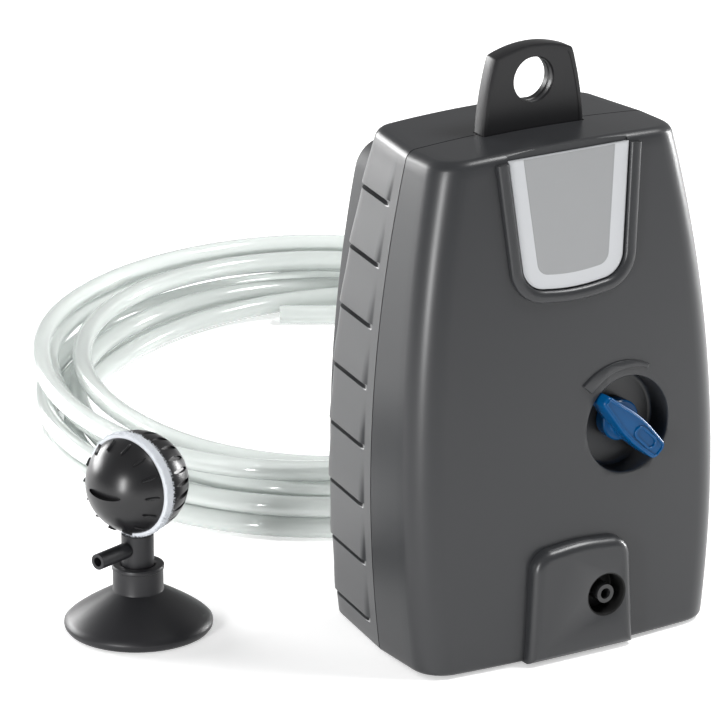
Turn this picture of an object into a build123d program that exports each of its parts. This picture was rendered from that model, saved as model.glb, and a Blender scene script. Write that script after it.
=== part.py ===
from build123d import *
from math import atan2, cos, degrees, radians, sin, sqrt, tan
import os

# Aquarium air pump with its hanging tab, loose air hose and ball diffuser.
# Millimetres. +Z is up, -Y is the front with the knob and the air outlet.
# The origin is on the surface the pump stands on, under the seam between its two shells.

# ---------------------------------------------------------------- driving dimensions

# Housing: two shells that meet in the plane Y = 0, widest a third of the way up
pump_height = 139.8
widest_half_width = 48.5
widest_height = 48.0
side_radius = 376.0
front_depth = 27.0
front_radius = 1400.0
front_bulge = 2.4
front_corner_radius = 9.0
rear_depth = 33.0
rear_knee_height = 30.0
rear_radius = 756.0
rear_taper = 0.155
rear_corner_radius = 6.0
top_crown = 1.5
wall = 2.5
seam_gap = 0.1
fit_gap = 0.3
running_gap = 0.05

# Rubber feet
foot_radius = 4.0
foot_thickness = 2.4
foot_stand = 0.8

# Hanging tab, which slides in a slot across the seam
tab_front = 3.0
tab_thickness = 5.0
tab_half_width = 15.6
tab_top_half_width = 12.0
tab_rise = 21.9
tab_arch = 2.4
tab_hole_radius = 6.0
tab_hole_rise = 14.6
tab_insert = 13.0

# Nameplate in its raised surround
plate_height = 36.4
plate_half_width_top = 18.8
plate_half_width_low = 15.2
plate_corner_radius = 7.5
plate_thickness = 1.0
plate_sunk = 1.2
surround_width = 3.4
surround_rise = 1.2

# Control knob in its round dish
knob_x = 16.5
knob_z = 62.0
dish_radius = 13.2
dish_depth = 8.0
dish_floor = 2.0
lever_half_width = 3.7
hub_radius = 5.6
spindle_radius = 2.5
scale_inner_radius = 15.8
scale_thick_radius = 19.5
scale_thin_radius = 17.0
scale_rise = 0.6
scale_start = 138.0
scale_end = 66.0

# Arch-shaped outlet panel at the foot of the front shell
panel_half_width_low = 16.7
panel_half_width_high = 15.0
panel_height = 32.5
panel_corner_radius = 6.5
panel_rise = 3.4
outlet_x = 7.1
outlet_z = 16.8
outlet_recess_radius = 5.6
outlet_recess_depth = 6.5
nozzle_radius = 2.6
nozzle_root_radius = 2.2
nozzle_bore_radius = 1.5
nozzle_block = 6.0
nozzle_short_of_panel = 0.6
seat_gap = 0.2

# Side grooves of the rear shell
groove_count = 8
groove_first_height = 8.0
groove_pitch = 16.65
groove_width = 1.1
groove_depth = 0.8

# Back cover over the intake filter
cover_inset = 8.4
cover_low = 22.0
cover_top_drop = 7.0
cover_standoff = 3.0
cover_corner_radius = 9.0
cover_wall = 1.8
intake_slots = 5
filter_half_width = 20.0
filter_height = 30.0
intake_radius = 3.0

# Housing screws and their posts
post_radius = 4.5
screw_head_radius = 2.9
screw_shaft_radius = 1.4
screw_low_x = 33.0
screw_low_z = 10.0
screw_high_x = 25.0
screw_high_drop = 18.0

# Electromagnet
core_width = 28.0
core_depth = 16.0
core_y = 7.0
core_low = 22.0
core_height = 36.0
core_yoke = 8.0
core_outer_leg = 5.0
core_centre_leg = 8.0
bobbin_wall = 0.8

# Swing arms and diaphragms
arm_gap = 3.0
arm_thickness = 2.5
arm_width = 12.0
arm_eye_radius = 3.5
pivot_z = 14.0
pivot_radius = 1.5
magnet_width = 6.0
magnet_height = 4.0
magnet_gap = 1.8
diaphragm_z = 43.0
diaphragm_radius = 10.0
stud_radius = 2.2
swing = radians(2.5)

# Air boxes and air ways
air_box_side = 22.0
air_box_clearance = 5.5
pocket_radius = 7.5
pocket_depth = 4.0
duct_radius = 2.8
duct_bore_radius = 1.5
gallery_z = 74.0
valve_radius = 7.0
inner_hose_radius = 2.5

# Chassis and mains entry
chassis_thickness = 2.5
chassis_low = 18.0
chassis_high = 66.0
gland_z = 12.0
gland_radius = 5.0
cable_radius = 3.0

# Ball diffuser on its suction cup
diffuser_x = -91.4
diffuser_y = 50.9
diffuser_heading = 199.0
cup_radius = 20.3
cup_hollow = 3.4
cup_cone_height = 11.3
collar_radius = 6.9
collar_top = 18.6
stem_radius = 4.45
spigot_radius = 3.4
nipple_radius = 2.2
nipple_root_radius = 1.9
nipple_bore_radius = 1.3
nipple_reach = 16.0
nipple_z = 23.6
ball_radius = 14.1
ball_z = 42.0
ball_wall = 1.8
felt_thickness = 3.0
felt_centre = 2.2

# Air hose, 4 mm bore and 6 mm outside, lying in a loose oval coil
hose_radius = 3.0
coil_x = 43.0
coil_y = 176.0
coil_heading = 58.8
coil_half_length = 113.0
coil_half_width = 92.5
coil_band = 29.0
coil_height = 27.0
free_end_points = [
    (72.0, 254.0),
    (89.0, 243.4),
    (105.5, 235.0),
    (117.0, 225.0),
]

# ---------------------------------------------------------------- derived values

housing_top = pump_height
cavity_top = housing_top - wall
cavity_low = foot_stand + wall
core_rear = core_y + core_depth / 2
core_front = core_y - core_depth / 2
leg_height = core_height - core_yoke
leg_window = (core_width - core_centre_leg - 2 * core_outer_leg) / 2
pole_z = core_low + core_height
arm_inner = core_width / 2 + arm_gap
arm_outer = arm_inner + arm_thickness
arm_axis_x = (arm_inner + arm_outer) / 2
diaphragm_travel = swing * (diaphragm_z - pivot_z)
diaphragm_inner = arm_outer + diaphragm_travel + 0.4
diaphragm_outer = diaphragm_inner + 5.0
box_inner = diaphragm_outer
box_outer = widest_half_width - wall - air_box_clearance
duct_x = (box_inner + box_outer) / 2
chassis_front = core_rear + core_outer_leg + bobbin_wall + 0.2
chassis_rear = chassis_front + chassis_thickness
chassis_half = widest_half_width - wall - 10.0
cover_back = rear_depth + cover_standoff
cover_high = housing_top - cover_top_drop
filter_high = cover_high - 18.0
filter_low = filter_high - filter_height
panel_front = front_depth + panel_rise
levels = [0.0, 0.13, 0.3, 0.5, 0.7, 0.86, 1.0]


def half_width(height):
    """Half the width of the housing at the seam."""
    return widest_half_width - (height - widest_height) ** 2 / (2 * side_radius)


def front_reach(height):
    """How far the front shell stands out in the middle."""
    return front_depth - height**2 / (2 * front_radius)


def rear_reach(height):
    """How far the rear shell reaches back."""
    lean = max(height - rear_knee_height, 0.0)
    return rear_depth - lean**2 / (2 * rear_radius)


def front_outline(height, inset, overrun):
    """Closed outline of the front shell at one height."""
    half = half_width(height) - inset
    depth = front_reach(height) - inset
    shoulder = depth - front_bulge
    start = overrun - seam_gap
    with BuildSketch(Plane.XY.offset(height)) as outline:
        with BuildLine():
            Polyline((-half, -shoulder), (-half, start), (half, start), (half, -shoulder))
            ThreePointArc((-half, -shoulder), (0, -depth), (half, -shoulder))
        make_face()
        corners = outline.vertices().filter_by(lambda v: v.Y < start - 1)
        fillet(corners, front_corner_radius - inset)
    return outline.sketch


def rear_outline(height, inset, overrun):
    """Closed outline of the rear shell at one height."""
    half = half_width(height) - inset
    depth = rear_reach(height) - inset
    back_half = half - rear_taper * depth
    start = seam_gap - overrun
    with BuildSketch(Plane.XY.offset(height)) as outline:
        with BuildLine():
            Polyline(
                (-half, start),
                (-back_half, depth),
                (back_half, depth),
                (half, start),
                close=True,
            )
        make_face()
        corners = outline.vertices().filter_by(lambda v: v.Y > start + 1)
        fillet(corners, rear_corner_radius - inset)
    return outline.sketch


def loft_heights(low, high):
    """Heights of the sections of a loft, from low to high."""
    return [low + share * (high - low) for share in levels]


def crown_profile():
    """Front view of all that lies under the crowned top of the housing."""
    side = widest_half_width + 5
    edge = half_width(housing_top)
    fall = top_crown * (side / edge) ** 2 - top_crown
    edge_z = housing_top - fall
    with BuildSketch(Plane.XZ) as outline:
        with BuildLine():
            ThreePointArc((-side, edge_z), (0, housing_top + top_crown), (side, edge_z))
            Polyline((-side, edge_z), (-side, -1), (side, -1), (side, edge_z))
        make_face()
    return outline.sketch


def plane_facing_front(reach):
    """Plane across Y at the given distance in front of the seam, seen from the front."""
    return Plane.XZ.offset(reach)


def post_places():
    """Places of the housing screws in X and Z."""
    high_z = housing_top - screw_high_drop
    return [
        (-screw_low_x, screw_low_z),
        (screw_low_x, screw_low_z),
        (-screw_high_x, high_z),
        (screw_high_x, high_z),
    ]


def tab_slot():
    """Plan of the slot that the hanging tab slides in."""
    with BuildSketch(Plane.XY.offset(cavity_top - 1)) as outline:
        with Locations((0, tab_thickness / 2 - tab_front)):
            Rectangle(2 * (tab_half_width + fit_gap), tab_thickness + 2 * fit_gap)
    return outline.sketch


def foot_places(side_y):
    """Places of the two feet at one side of the seam."""
    x = half_width(0) - 12.0
    return [(-x, side_y), (x, side_y)]


front_foot_y = -(front_depth - 12.0)
rear_foot_y = rear_depth - 12.0

plate_z = housing_top - plate_height / 2 - 0.6
plate_lean = degrees(atan2(plate_z, front_radius))
plate_plane = Plane(
    origin=(0, -front_reach(plate_z), plate_z),
    x_dir=(1, 0, 0),
    z_dir=(0, -cos(radians(plate_lean)), sin(radians(plate_lean))),
)


def plate_outline(grow, top_extra):
    """Shield outline of the nameplate, grown by a margin and run on at the top."""
    high = plate_height / 2
    top = plate_half_width_top + grow
    low = plate_half_width_low + grow
    with BuildSketch(plate_plane) as outline:
        with BuildLine():
            Polyline((-low, -high + 0.8 - grow), (-top, high + top_extra), (top, high + top_extra))
            Line((top, high + top_extra), (low, -high + 0.8 - grow))
            ThreePointArc((-low, -high + 0.8 - grow), (0, -high - grow), (low, -high + 0.8 - grow))
        make_face()
        fillet(outline.vertices().group_by(Axis.Y)[0], plate_corner_radius + grow)
    return outline.sketch


# ---------------------------------------------------------------- front shell

dish_y = front_reach(knob_z)
dish_floor_y = dish_y - dish_depth
recess_floor_y = panel_front - outlet_recess_depth
scale_plane = Plane(origin=(knob_x, wall / 2 - dish_y, knob_z), x_dir=(1, 0, 0), z_dir=(0, -1, 0))


def scale_point(radius, angle):
    """Point of the flow scale at a radius and an angle about the knob."""
    return (radius * cos(radians(angle)), radius * sin(radians(angle)))


def scale_arc(start_radius, end_radius):
    """Three points of an edge of the flow scale, from its thick end to its thin one."""
    middle = scale_point((start_radius + end_radius) / 2 + 0.5, (scale_start + scale_end) / 2)
    if start_radius == end_radius:
        middle = scale_point(start_radius, (scale_start + scale_end) / 2)
    return scale_point(start_radius, scale_start), middle, scale_point(end_radius, scale_end)


with BuildPart() as front_shell:
    loft([front_outline(z, 0, 0) for z in loft_heights(foot_stand, housing_top + top_crown)])
    with BuildSketch(plane_facing_front(front_depth / 2)) as panel_sketch:
        with BuildLine():
            Polyline(
                (-panel_half_width_low, foot_stand),
                (-panel_half_width_high, panel_height),
                (panel_half_width_high, panel_height),
                (panel_half_width_low, foot_stand),
                close=True,
            )
        make_face()
        fillet(panel_sketch.vertices().group_by(Axis.Y)[-1], panel_corner_radius)
    extrude(amount=panel_front - front_depth / 2)
    panel_face = front_shell.faces().filter_by(Axis.Y).sort_by(Axis.Y)[0]
    fillet(panel_face.edges().filter_by(lambda e: e.center().Z > foot_stand + 1), 1.2)
    extrude(plate_outline(surround_width, 2), amount=surround_rise)
    extrude(plate_outline(surround_width, 2), amount=-wall)
    extrude(crown_profile(), amount=3 * rear_depth, both=True, mode=Mode.INTERSECT)
    loft([front_outline(z, wall, 1) for z in loft_heights(cavity_low, cavity_top)], mode=Mode.SUBTRACT)
    with BuildSketch(plane_facing_front(dish_floor_y - dish_floor)):
        with Locations((knob_x, knob_z)):
            Circle(dish_radius + dish_floor)
    extrude(amount=dish_depth + dish_floor - 1)
    with BuildSketch(plane_facing_front(dish_floor_y)):
        with Locations((knob_x, knob_z)):
            Circle(dish_radius)
    extrude(amount=dish_depth + 5, mode=Mode.SUBTRACT)
    with BuildSketch(plane_facing_front(recess_floor_y - wall)):
        with Locations((outlet_x, outlet_z)):
            Circle(outlet_recess_radius + wall)
    extrude(amount=outlet_recess_depth)
    with BuildSketch(plane_facing_front(recess_floor_y)):
        with Locations((outlet_x, outlet_z)):
            Circle(outlet_recess_radius)
    extrude(amount=outlet_recess_depth + 5, mode=Mode.SUBTRACT)
    with BuildSketch(plane_facing_front(0)):
        with Locations((outlet_x, outlet_z)):
            Circle(nozzle_root_radius + running_gap)
        with Locations((knob_x, knob_z)):
            Circle(spindle_radius + running_gap)
    extrude(amount=front_depth, mode=Mode.SUBTRACT)
    extrude(plate_outline(fit_gap, 3), amount=-plate_sunk, mode=Mode.SUBTRACT)
    extrude(plate_outline(fit_gap, 3), amount=surround_rise + 2, mode=Mode.SUBTRACT)
    with BuildSketch(scale_plane):
        with BuildLine():
            outer_arc = ThreePointArc(*scale_arc(scale_thick_radius, scale_thin_radius))
            inner_arc = ThreePointArc(*scale_arc(scale_inner_radius, scale_inner_radius))
            Line(outer_arc @ 1, inner_arc @ 1)
            Line(outer_arc @ 0, inner_arc @ 0)
        make_face()
    extrude(amount=scale_rise + wall / 2)
    for x, z in post_places():
        with BuildSketch(plane_facing_front(seam_gap)):
            with Locations((x, z)):
                Circle(post_radius)
        extrude(amount=front_reach(z) - front_bulge - wall / 2)
        with BuildSketch(plane_facing_front(0)):
            with Locations((x, z)):
                Circle(screw_shaft_radius + seam_gap)
        extrude(amount=front_reach(z) - 2 * wall - front_bulge, mode=Mode.SUBTRACT)
    extrude(tab_slot(), amount=wall + top_crown + 2, mode=Mode.SUBTRACT)
    with BuildSketch(Plane.XY):
        with Locations(*foot_places(front_foot_y)):
            Circle(foot_radius + seam_gap)
    extrude(amount=foot_thickness, mode=Mode.SUBTRACT)
front_shell.part.label = "front_shell"

# ---------------------------------------------------------------- rear shell

with BuildPart() as groove_bands:
    loft([rear_outline(z, -1, 0) for z in loft_heights(foot_stand, housing_top + top_crown)])
    inner_heights = loft_heights(foot_stand - 1, housing_top + top_crown + 1)
    loft([rear_outline(z, groove_depth, 1) for z in inner_heights], mode=Mode.SUBTRACT)
    with BuildSketch(Plane.XZ.offset(-4)):
        for row in range(groove_count):
            with Locations((0, groove_first_height + row * groove_pitch)):
                Rectangle(3 * widest_half_width, groove_width)
    extrude(amount=-(rear_depth - 5), mode=Mode.INTERSECT)

with BuildPart() as rear_shell:
    loft([rear_outline(z, 0, 0) for z in loft_heights(foot_stand, housing_top + top_crown)])
    extrude(crown_profile(), amount=3 * rear_depth, both=True, mode=Mode.INTERSECT)
    add(groove_bands.part, mode=Mode.SUBTRACT)
    loft([rear_outline(z, wall, 1) for z in loft_heights(cavity_low, cavity_top)], mode=Mode.SUBTRACT)
    for x, z in post_places():
        with BuildSketch(Plane.XZ.offset(-seam_gap)):
            with Locations((x, z)):
                Circle(post_radius)
        extrude(amount=-(rear_reach(z) - wall / 2))
        with BuildSketch(Plane.XZ):
            with Locations((x, z)):
                Circle(screw_shaft_radius + seam_gap)
        extrude(amount=-rear_depth - 1, mode=Mode.SUBTRACT)
        with BuildSketch(Plane.XZ.offset(-(rear_reach(z) - 4))):
            with Locations((x, z)):
                Circle(screw_head_radius + seam_gap)
        extrude(amount=-10, mode=Mode.SUBTRACT)
    chassis_screw_x = chassis_half - 6
    for z in (chassis_low + 6, chassis_high - 6):
        with BuildSketch(Plane.XZ.offset(-chassis_rear)):
            with Locations((-chassis_screw_x, z), (chassis_screw_x, z)):
                Circle(3.5)
                Circle(screw_shaft_radius + seam_gap, mode=Mode.SUBTRACT)
        extrude(amount=-(rear_reach(z) - wall / 2 - chassis_rear))
    with BuildSketch(Plane.XZ.offset(-chassis_rear)):
        with Locations((0, gland_z)):
            Circle(gland_radius + seam_gap)
        with Locations((0, (filter_low + filter_high) / 2)):
            Circle(intake_radius)
    extrude(amount=-(rear_depth - chassis_rear + 2), mode=Mode.SUBTRACT)
    extrude(tab_slot(), amount=wall + top_crown + 2, mode=Mode.SUBTRACT)
    with BuildSketch(Plane.XY):
        with Locations(*foot_places(rear_foot_y)):
            Circle(foot_radius + seam_gap)
    extrude(amount=foot_thickness, mode=Mode.SUBTRACT)
rear_shell.part.label = "rear_shell"

# ---------------------------------------------------------------- back cover and filter


def cover_outline(back, inset):
    """Outline of the back cover in a plane across Y."""
    low = cover_low + inset
    high = cover_high - inset
    middle = (low + high) / 2
    shift = cover_inset + inset
    with BuildSketch(Plane.XZ.offset(-back)) as outline:
        with BuildLine():
            for side in (-1, 1):
                ThreePointArc(
                    (side * (half_width(low) - shift), low),
                    (side * (half_width(middle) - shift), middle),
                    (side * (half_width(high) - shift), high),
                )
            for height in (low, high):
                Line((-(half_width(height) - shift), height), (half_width(height) - shift, height))
        make_face()
        fillet(outline.vertices().group_by(Axis.Y)[-1], cover_corner_radius - inset)
        fillet(outline.vertices().group_by(Axis.Y)[0], cover_corner_radius / 2 - inset)
    return outline.sketch


with BuildPart() as back_cover:
    extrude(cover_outline(cover_back, 0), amount=cover_back - rear_depth + 12)
    fillet(back_cover.faces().sort_by(Axis.Y)[-1].edges(), 1.2)
    extrude(cover_outline(cover_back - cover_wall, cover_wall), amount=cover_back, mode=Mode.SUBTRACT)
    body_heights = loft_heights(foot_stand - 5, housing_top + 5)
    loft([rear_outline(z, -0.15, 1) for z in body_heights], mode=Mode.SUBTRACT)
    with BuildSketch(Plane.XZ.offset(-(cover_back - cover_wall - 1))):
        with Locations((0, cover_low + 22)):
            with GridLocations(1, 4.5, 1, intake_slots):
                SlotOverall(26, 1.6)
    extrude(amount=-(cover_wall + 2), mode=Mode.SUBTRACT)
back_cover.part.label = "back_cover"

with BuildPart() as filter_pad:
    with BuildSketch(Plane.XZ.offset(-(rear_reach(filter_low) + fit_gap))) as pad_sketch:
        with Locations((0, (filter_low + filter_high) / 2)):
            RectangleRounded(2 * filter_half_width, filter_height, 4)
    extrude(amount=-(cover_back - cover_wall - 2 * fit_gap - rear_reach(filter_low)))
filter_pad.part.label = "filter_pad"

# ---------------------------------------------------------------- nameplate, feet, screws

with BuildPart() as nameplate:
    extrude(plate_outline(0, 0), amount=-plate_sunk)
    extrude(plate_outline(1, 1), amount=-(plate_sunk - plate_thickness), mode=Mode.SUBTRACT)
    extrude(crown_profile(), amount=3 * rear_depth, both=True, mode=Mode.INTERSECT)
nameplate.part.label = "nameplate"

with BuildPart() as rubber_feet:
    with BuildSketch():
        with Locations(*foot_places(front_foot_y), *foot_places(rear_foot_y)):
            Circle(foot_radius)
    extrude(amount=foot_thickness)
    chamfer(rubber_feet.faces().sort_by(Axis.Z)[:4].edges(), 0.4)
rubber_feet.part.label = "rubber_feet"

with BuildPart() as housing_screws:
    for x, z in post_places():
        head_y = rear_reach(z) - 4
        with BuildSketch(Plane.XZ.offset(-head_y)):
            with Locations((x, z)):
                Circle(screw_head_radius)
        extrude(amount=-2)
        with BuildSketch(Plane.XZ.offset(-head_y)):
            with Locations((x, z)):
                Circle(screw_shaft_radius)
        extrude(amount=head_y + 8)
        with BuildSketch(Plane.XZ.offset(-head_y - 1)):
            with Locations((x, z)):
                Rectangle(3.6, 0.8)
                Rectangle(0.8, 3.6)
        extrude(amount=-2, mode=Mode.SUBTRACT)
housing_screws.part.label = "housing_screws"

# ---------------------------------------------------------------- hanging tab

tab_low = housing_top - tab_insert

with BuildPart() as hanging_tab:
    with BuildSketch(plane_facing_front(tab_front)) as tab_sketch:
        with BuildLine():
            top = housing_top + tab_rise
            Polyline(
                (-tab_top_half_width, top),
                (-tab_half_width, housing_top),
                (-tab_half_width, tab_low),
                (tab_half_width, tab_low),
                (tab_half_width, housing_top),
                (tab_top_half_width, top),
            )
            ThreePointArc((-tab_top_half_width, top), (0, top + tab_arch), (tab_top_half_width, top))
        make_face()
        fillet(tab_sketch.vertices().group_by(Axis.Y)[-1], 1.2)
        with Locations((0, housing_top + tab_hole_rise)):
            Circle(tab_hole_radius, mode=Mode.SUBTRACT)
    extrude(amount=-tab_thickness)
    face_edges = hanging_tab.faces().filter_by(Axis.Y).edges()
    chamfer(face_edges.filter_by(lambda e: e.center().Z > housing_top + 3), 0.3)
hanging_tab.part.label = "hanging_tab"

# ---------------------------------------------------------------- knob, spindle and flow valve

valve_front = dish_floor_y - dish_floor - 0.2
valve_rear = valve_front - 8.0
lever_front = dish_y + 2.6
lever_back = dish_y - 5.2
lever_plane = Plane(
    origin=(knob_x, -lever_front, knob_z),
    x_dir=(cos(radians(-45)), 0, sin(radians(-45))),
    z_dir=(0, -1, 0),
)

with BuildPart() as control_knob:
    with BuildSketch(plane_facing_front(dish_floor_y + fit_gap)):
        with Locations((knob_x, knob_z)):
            Circle(hub_radius)
    extrude(amount=lever_back - dish_floor_y - fit_gap)
    with BuildSketch(lever_plane) as lever_sketch:
        reach = dish_radius - 0.5
        with BuildLine():
            ThreePointArc((-reach, 1.2), (2.0, lever_half_width), (reach - 0.6, 2.3))
            ThreePointArc((reach - 0.6, 2.3), (reach, 0), (reach - 0.6, -2.3))
            ThreePointArc((reach - 0.6, -2.3), (2.0, -lever_half_width), (-reach, -1.2))
            Line((-reach, -1.2), (-reach, 1.2))
        make_face()
    extrude(amount=-(lever_front - lever_back))
    with BuildSketch(lever_plane):
        with Locations((4.8, 0)):
            RectangleRounded(6.4, 3.0, 1.2)
    extrude(amount=0.5)
    with BuildSketch(plane_facing_front(dish_floor_y)):
        with Locations((knob_x, knob_z)):
            Circle(spindle_radius)
    extrude(amount=5, mode=Mode.SUBTRACT)
control_knob.part.label = "control_knob"

with BuildPart() as valve_spindle:
    with BuildSketch(plane_facing_front(valve_rear + 1.5)):
        with Locations((knob_x, knob_z)):
            Circle(spindle_radius)
    extrude(amount=dish_floor_y + 5 - valve_rear - 1.5)
valve_spindle.part.label = "valve_spindle"

valve_port_y = (valve_front + valve_rear) / 2

with BuildPart() as flow_valve_body:
    with BuildSketch(plane_facing_front(valve_rear)):
        with Locations((knob_x, knob_z)):
            Circle(valve_radius)
    extrude(amount=valve_front - valve_rear)
    with BuildSketch(Plane.XY.offset(knob_z - valve_radius - 4)):
        with Locations((knob_x, -valve_port_y)):
            Circle(inner_hose_radius - 0.6)
    extrude(amount=valve_radius + 2)
    with BuildSketch(Plane.XY.offset(knob_z - valve_radius - 5)):
        with Locations((knob_x, -valve_port_y)):
            Circle(duct_bore_radius - 0.5)
    extrude(amount=2 * valve_radius + 8, mode=Mode.SUBTRACT)
    with BuildSketch(plane_facing_front(valve_rear + 1.2)):
        with Locations((knob_x, knob_z)):
            Circle(spindle_radius + running_gap)
    extrude(amount=valve_front, mode=Mode.SUBTRACT)
flow_valve_body.part.label = "flow_valve_body"

# ---------------------------------------------------------------- outlet nozzle and inner hose

elbow_z = outlet_z + 8.0
inner_hose_points = [
    (knob_x, -valve_port_y, knob_z - valve_radius - 0.2),
    (knob_x, -valve_port_y, knob_z - valve_radius - 11),
    (outlet_x, -valve_port_y, elbow_z + 12),
    (outlet_x, -valve_port_y, elbow_z + 0.2),
]

nozzle_flange_y = recess_floor_y - wall - seat_gap
nozzle_root_y = recess_floor_y + seat_gap
nozzle_tip_y = panel_front - nozzle_short_of_panel

with BuildPart() as outlet_nozzle:
    with BuildSketch(Plane.XY.offset(outlet_z - nozzle_block / 2)):
        with Locations((outlet_x, -valve_port_y)):
            Rectangle(nozzle_block, nozzle_block)
    extrude(amount=nozzle_block)
    with BuildSketch(Plane.XY.offset(outlet_z + nozzle_block / 2)):
        with Locations((outlet_x, -valve_port_y)):
            Circle(inner_hose_radius - 0.65)
    extrude(amount=elbow_z + 4 - outlet_z - nozzle_block / 2)
    with BuildSketch(plane_facing_front(valve_port_y + nozzle_block / 2)):
        with Locations((outlet_x, outlet_z)):
            Circle(nozzle_root_radius)
    extrude(amount=nozzle_root_y - valve_port_y - nozzle_block / 2)
    with BuildSketch(plane_facing_front(nozzle_root_y)):
        with Locations((outlet_x, outlet_z)):
            Circle(nozzle_radius)
    extrude(amount=nozzle_tip_y - nozzle_root_y)
    with BuildSketch(plane_facing_front(nozzle_flange_y)):
        with Locations((outlet_x, outlet_z)):
            Circle(nozzle_radius + 2)
    extrude(amount=-1.8)
    with BuildSketch(plane_facing_front(valve_port_y)):
        with Locations((outlet_x, outlet_z)):
            Circle(nozzle_bore_radius)
    extrude(amount=panel_front, mode=Mode.SUBTRACT)
    with BuildSketch(Plane.XY.offset(outlet_z)):
        with Locations((outlet_x, -valve_port_y)):
            Circle(duct_bore_radius - 0.5)
    extrude(amount=elbow_z, mode=Mode.SUBTRACT)
outlet_nozzle.part.label = "outlet_nozzle"


def arc_radii(points):
    """Radius of the arc at each corner of a route: 0.45 of the shorter run over the half turn."""
    radii = []
    for before, corner, after in zip(points, points[1:], points[2:]):
        arriving = Vector(*corner) - Vector(*before)
        leaving = Vector(*after) - Vector(*corner)
        turn = radians(arriving.get_angle(leaving))
        radii.append(0.45 * min(arriving.length, leaving.length) / tan(turn / 2))
    return radii


with BuildPart() as inner_hose:
    with BuildLine() as inner_route:
        FilletPolyline(*inner_hose_points, radius=arc_radii(inner_hose_points))
    with BuildSketch(Plane(inner_route.line @ 0, z_dir=inner_route.line % 0)):
        Circle(inner_hose_radius)
        Circle(inner_hose_radius - 0.55, mode=Mode.SUBTRACT)
    sweep()
inner_hose.part.label = "inner_hose"

# ---------------------------------------------------------------- electromagnet

with BuildPart() as magnet_core:
    with BuildSketch(Plane.XZ.offset(-core_front)):
        with Locations((0, core_low + core_height / 2)):
            Rectangle(core_width, core_height)
        for side in (-1, 1):
            with Locations((side * (core_centre_leg + leg_window) / 2, pole_z - leg_height / 2)):
                Rectangle(leg_window, leg_height, mode=Mode.SUBTRACT)
    extrude(amount=-core_depth)
magnet_core.part.label = "magnet_core"

winding_low = core_low + core_yoke + 0.3
winding_high = pole_z - 3.0
bobbin_bore_x = core_centre_leg + 0.4
bobbin_bore_y = core_depth + 0.4
window_reach = core_centre_leg / 2 + leg_window - 0.3
winding_build = window_reach - bobbin_bore_x / 2 - bobbin_wall - 0.3

with BuildPart() as coil_bobbin:
    with BuildSketch(Plane.XY.offset(winding_low)):
        with Locations((0, core_y)):
            Rectangle(bobbin_bore_x + 2 * bobbin_wall, bobbin_bore_y + 2 * bobbin_wall)
            Rectangle(bobbin_bore_x, bobbin_bore_y, mode=Mode.SUBTRACT)
    extrude(amount=winding_high - winding_low)
    for z in (winding_low, winding_high - bobbin_wall):
        with BuildSketch(Plane.XY.offset(z)):
            with Locations((0, core_y)):
                Rectangle(2 * window_reach, bobbin_bore_y + 2 * winding_build + 2.4)
                Rectangle(bobbin_bore_x, bobbin_bore_y, mode=Mode.SUBTRACT)
        extrude(amount=bobbin_wall)
coil_bobbin.part.label = "coil_bobbin"

with BuildPart() as coil_winding:
    with BuildSketch(Plane.XY.offset(winding_low + bobbin_wall + 0.1)):
        with Locations((0, core_y)):
            RectangleRounded(
                bobbin_bore_x + 2 * bobbin_wall + 0.2 + 2 * winding_build,
                bobbin_bore_y + 2 * bobbin_wall + 0.2 + 2 * winding_build,
                2.4,
            )
            Rectangle(
                bobbin_bore_x + 2 * bobbin_wall + 0.2,
                bobbin_bore_y + 2 * bobbin_wall + 0.2,
                mode=Mode.SUBTRACT,
            )
    extrude(amount=winding_high - winding_low - 2 * bobbin_wall - 0.2)
coil_winding.part.label = "coil_winding"

strap_thickness = 1.4
strap_foot_x = arm_outer + 4.0

with BuildPart() as core_strap:
    with BuildSketch(Plane.XY.offset(core_low + 1)):
        half = core_width / 2 + 0.1
        with BuildLine():
            outer = half + strap_thickness
            front = core_front - 0.1
            rear = chassis_front - 0.05
            Polyline(
                (-outer, rear),
                (-outer, front - strap_thickness),
                (outer, front - strap_thickness),
                (outer, rear),
                (half, rear),
                (half, front),
                (-half, front),
                (-half, rear),
                close=True,
            )
        make_face()
        foot_y = rear - strap_thickness / 2
        foot_middle = (outer + strap_foot_x) / 2 - 0.5
        with Locations((-foot_middle, foot_y), (foot_middle, foot_y)):
            Rectangle(strap_foot_x - outer + 1, strap_thickness)
    extrude(amount=core_yoke - 2)
core_strap.part.label = "core_strap"

# ---------------------------------------------------------------- chassis, pivots and screws

tongue_low = pivot_z - 5
tongue_half = arm_outer + 4

with BuildPart() as chassis_plate:
    with BuildSketch(Plane.XZ.offset(-chassis_front)):
        with Locations((0, (chassis_low + chassis_high) / 2)):
            Rectangle(2 * chassis_half, chassis_high - chassis_low)
        with Locations((0, (tongue_low + chassis_low) / 2)):
            Rectangle(2 * tongue_half, chassis_low - tongue_low)
        with Locations((-arm_axis_x, pivot_z), (arm_axis_x, pivot_z)):
            Circle(pivot_radius, mode=Mode.SUBTRACT)
        for z in (chassis_low + 6, chassis_high - 6):
            with Locations((-chassis_screw_x, z), (chassis_screw_x, z)):
                Circle(screw_shaft_radius + seam_gap, mode=Mode.SUBTRACT)
    extrude(amount=-chassis_thickness)
    shelf_depth = chassis_front - core_y - air_box_side / 2 - 0.05
    shelf_width = min(box_outer, chassis_half) - box_inner
    with BuildSketch(Plane.XZ.offset(-(chassis_front - shelf_depth))):
        for side in (-1, 1):
            with Locations((side * (box_inner + shelf_width / 2), diaphragm_z)):
                Rectangle(shelf_width, air_box_side - 2)
    extrude(amount=-shelf_depth)
    with BuildSketch(Plane.XZ.offset(-core_rear)):
        with Locations((0, core_low + core_yoke / 2)):
            Rectangle(core_width - 4, core_yoke - 1)
    extrude(amount=-(chassis_front - core_rear))
chassis_plate.part.label = "chassis_plate"

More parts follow.
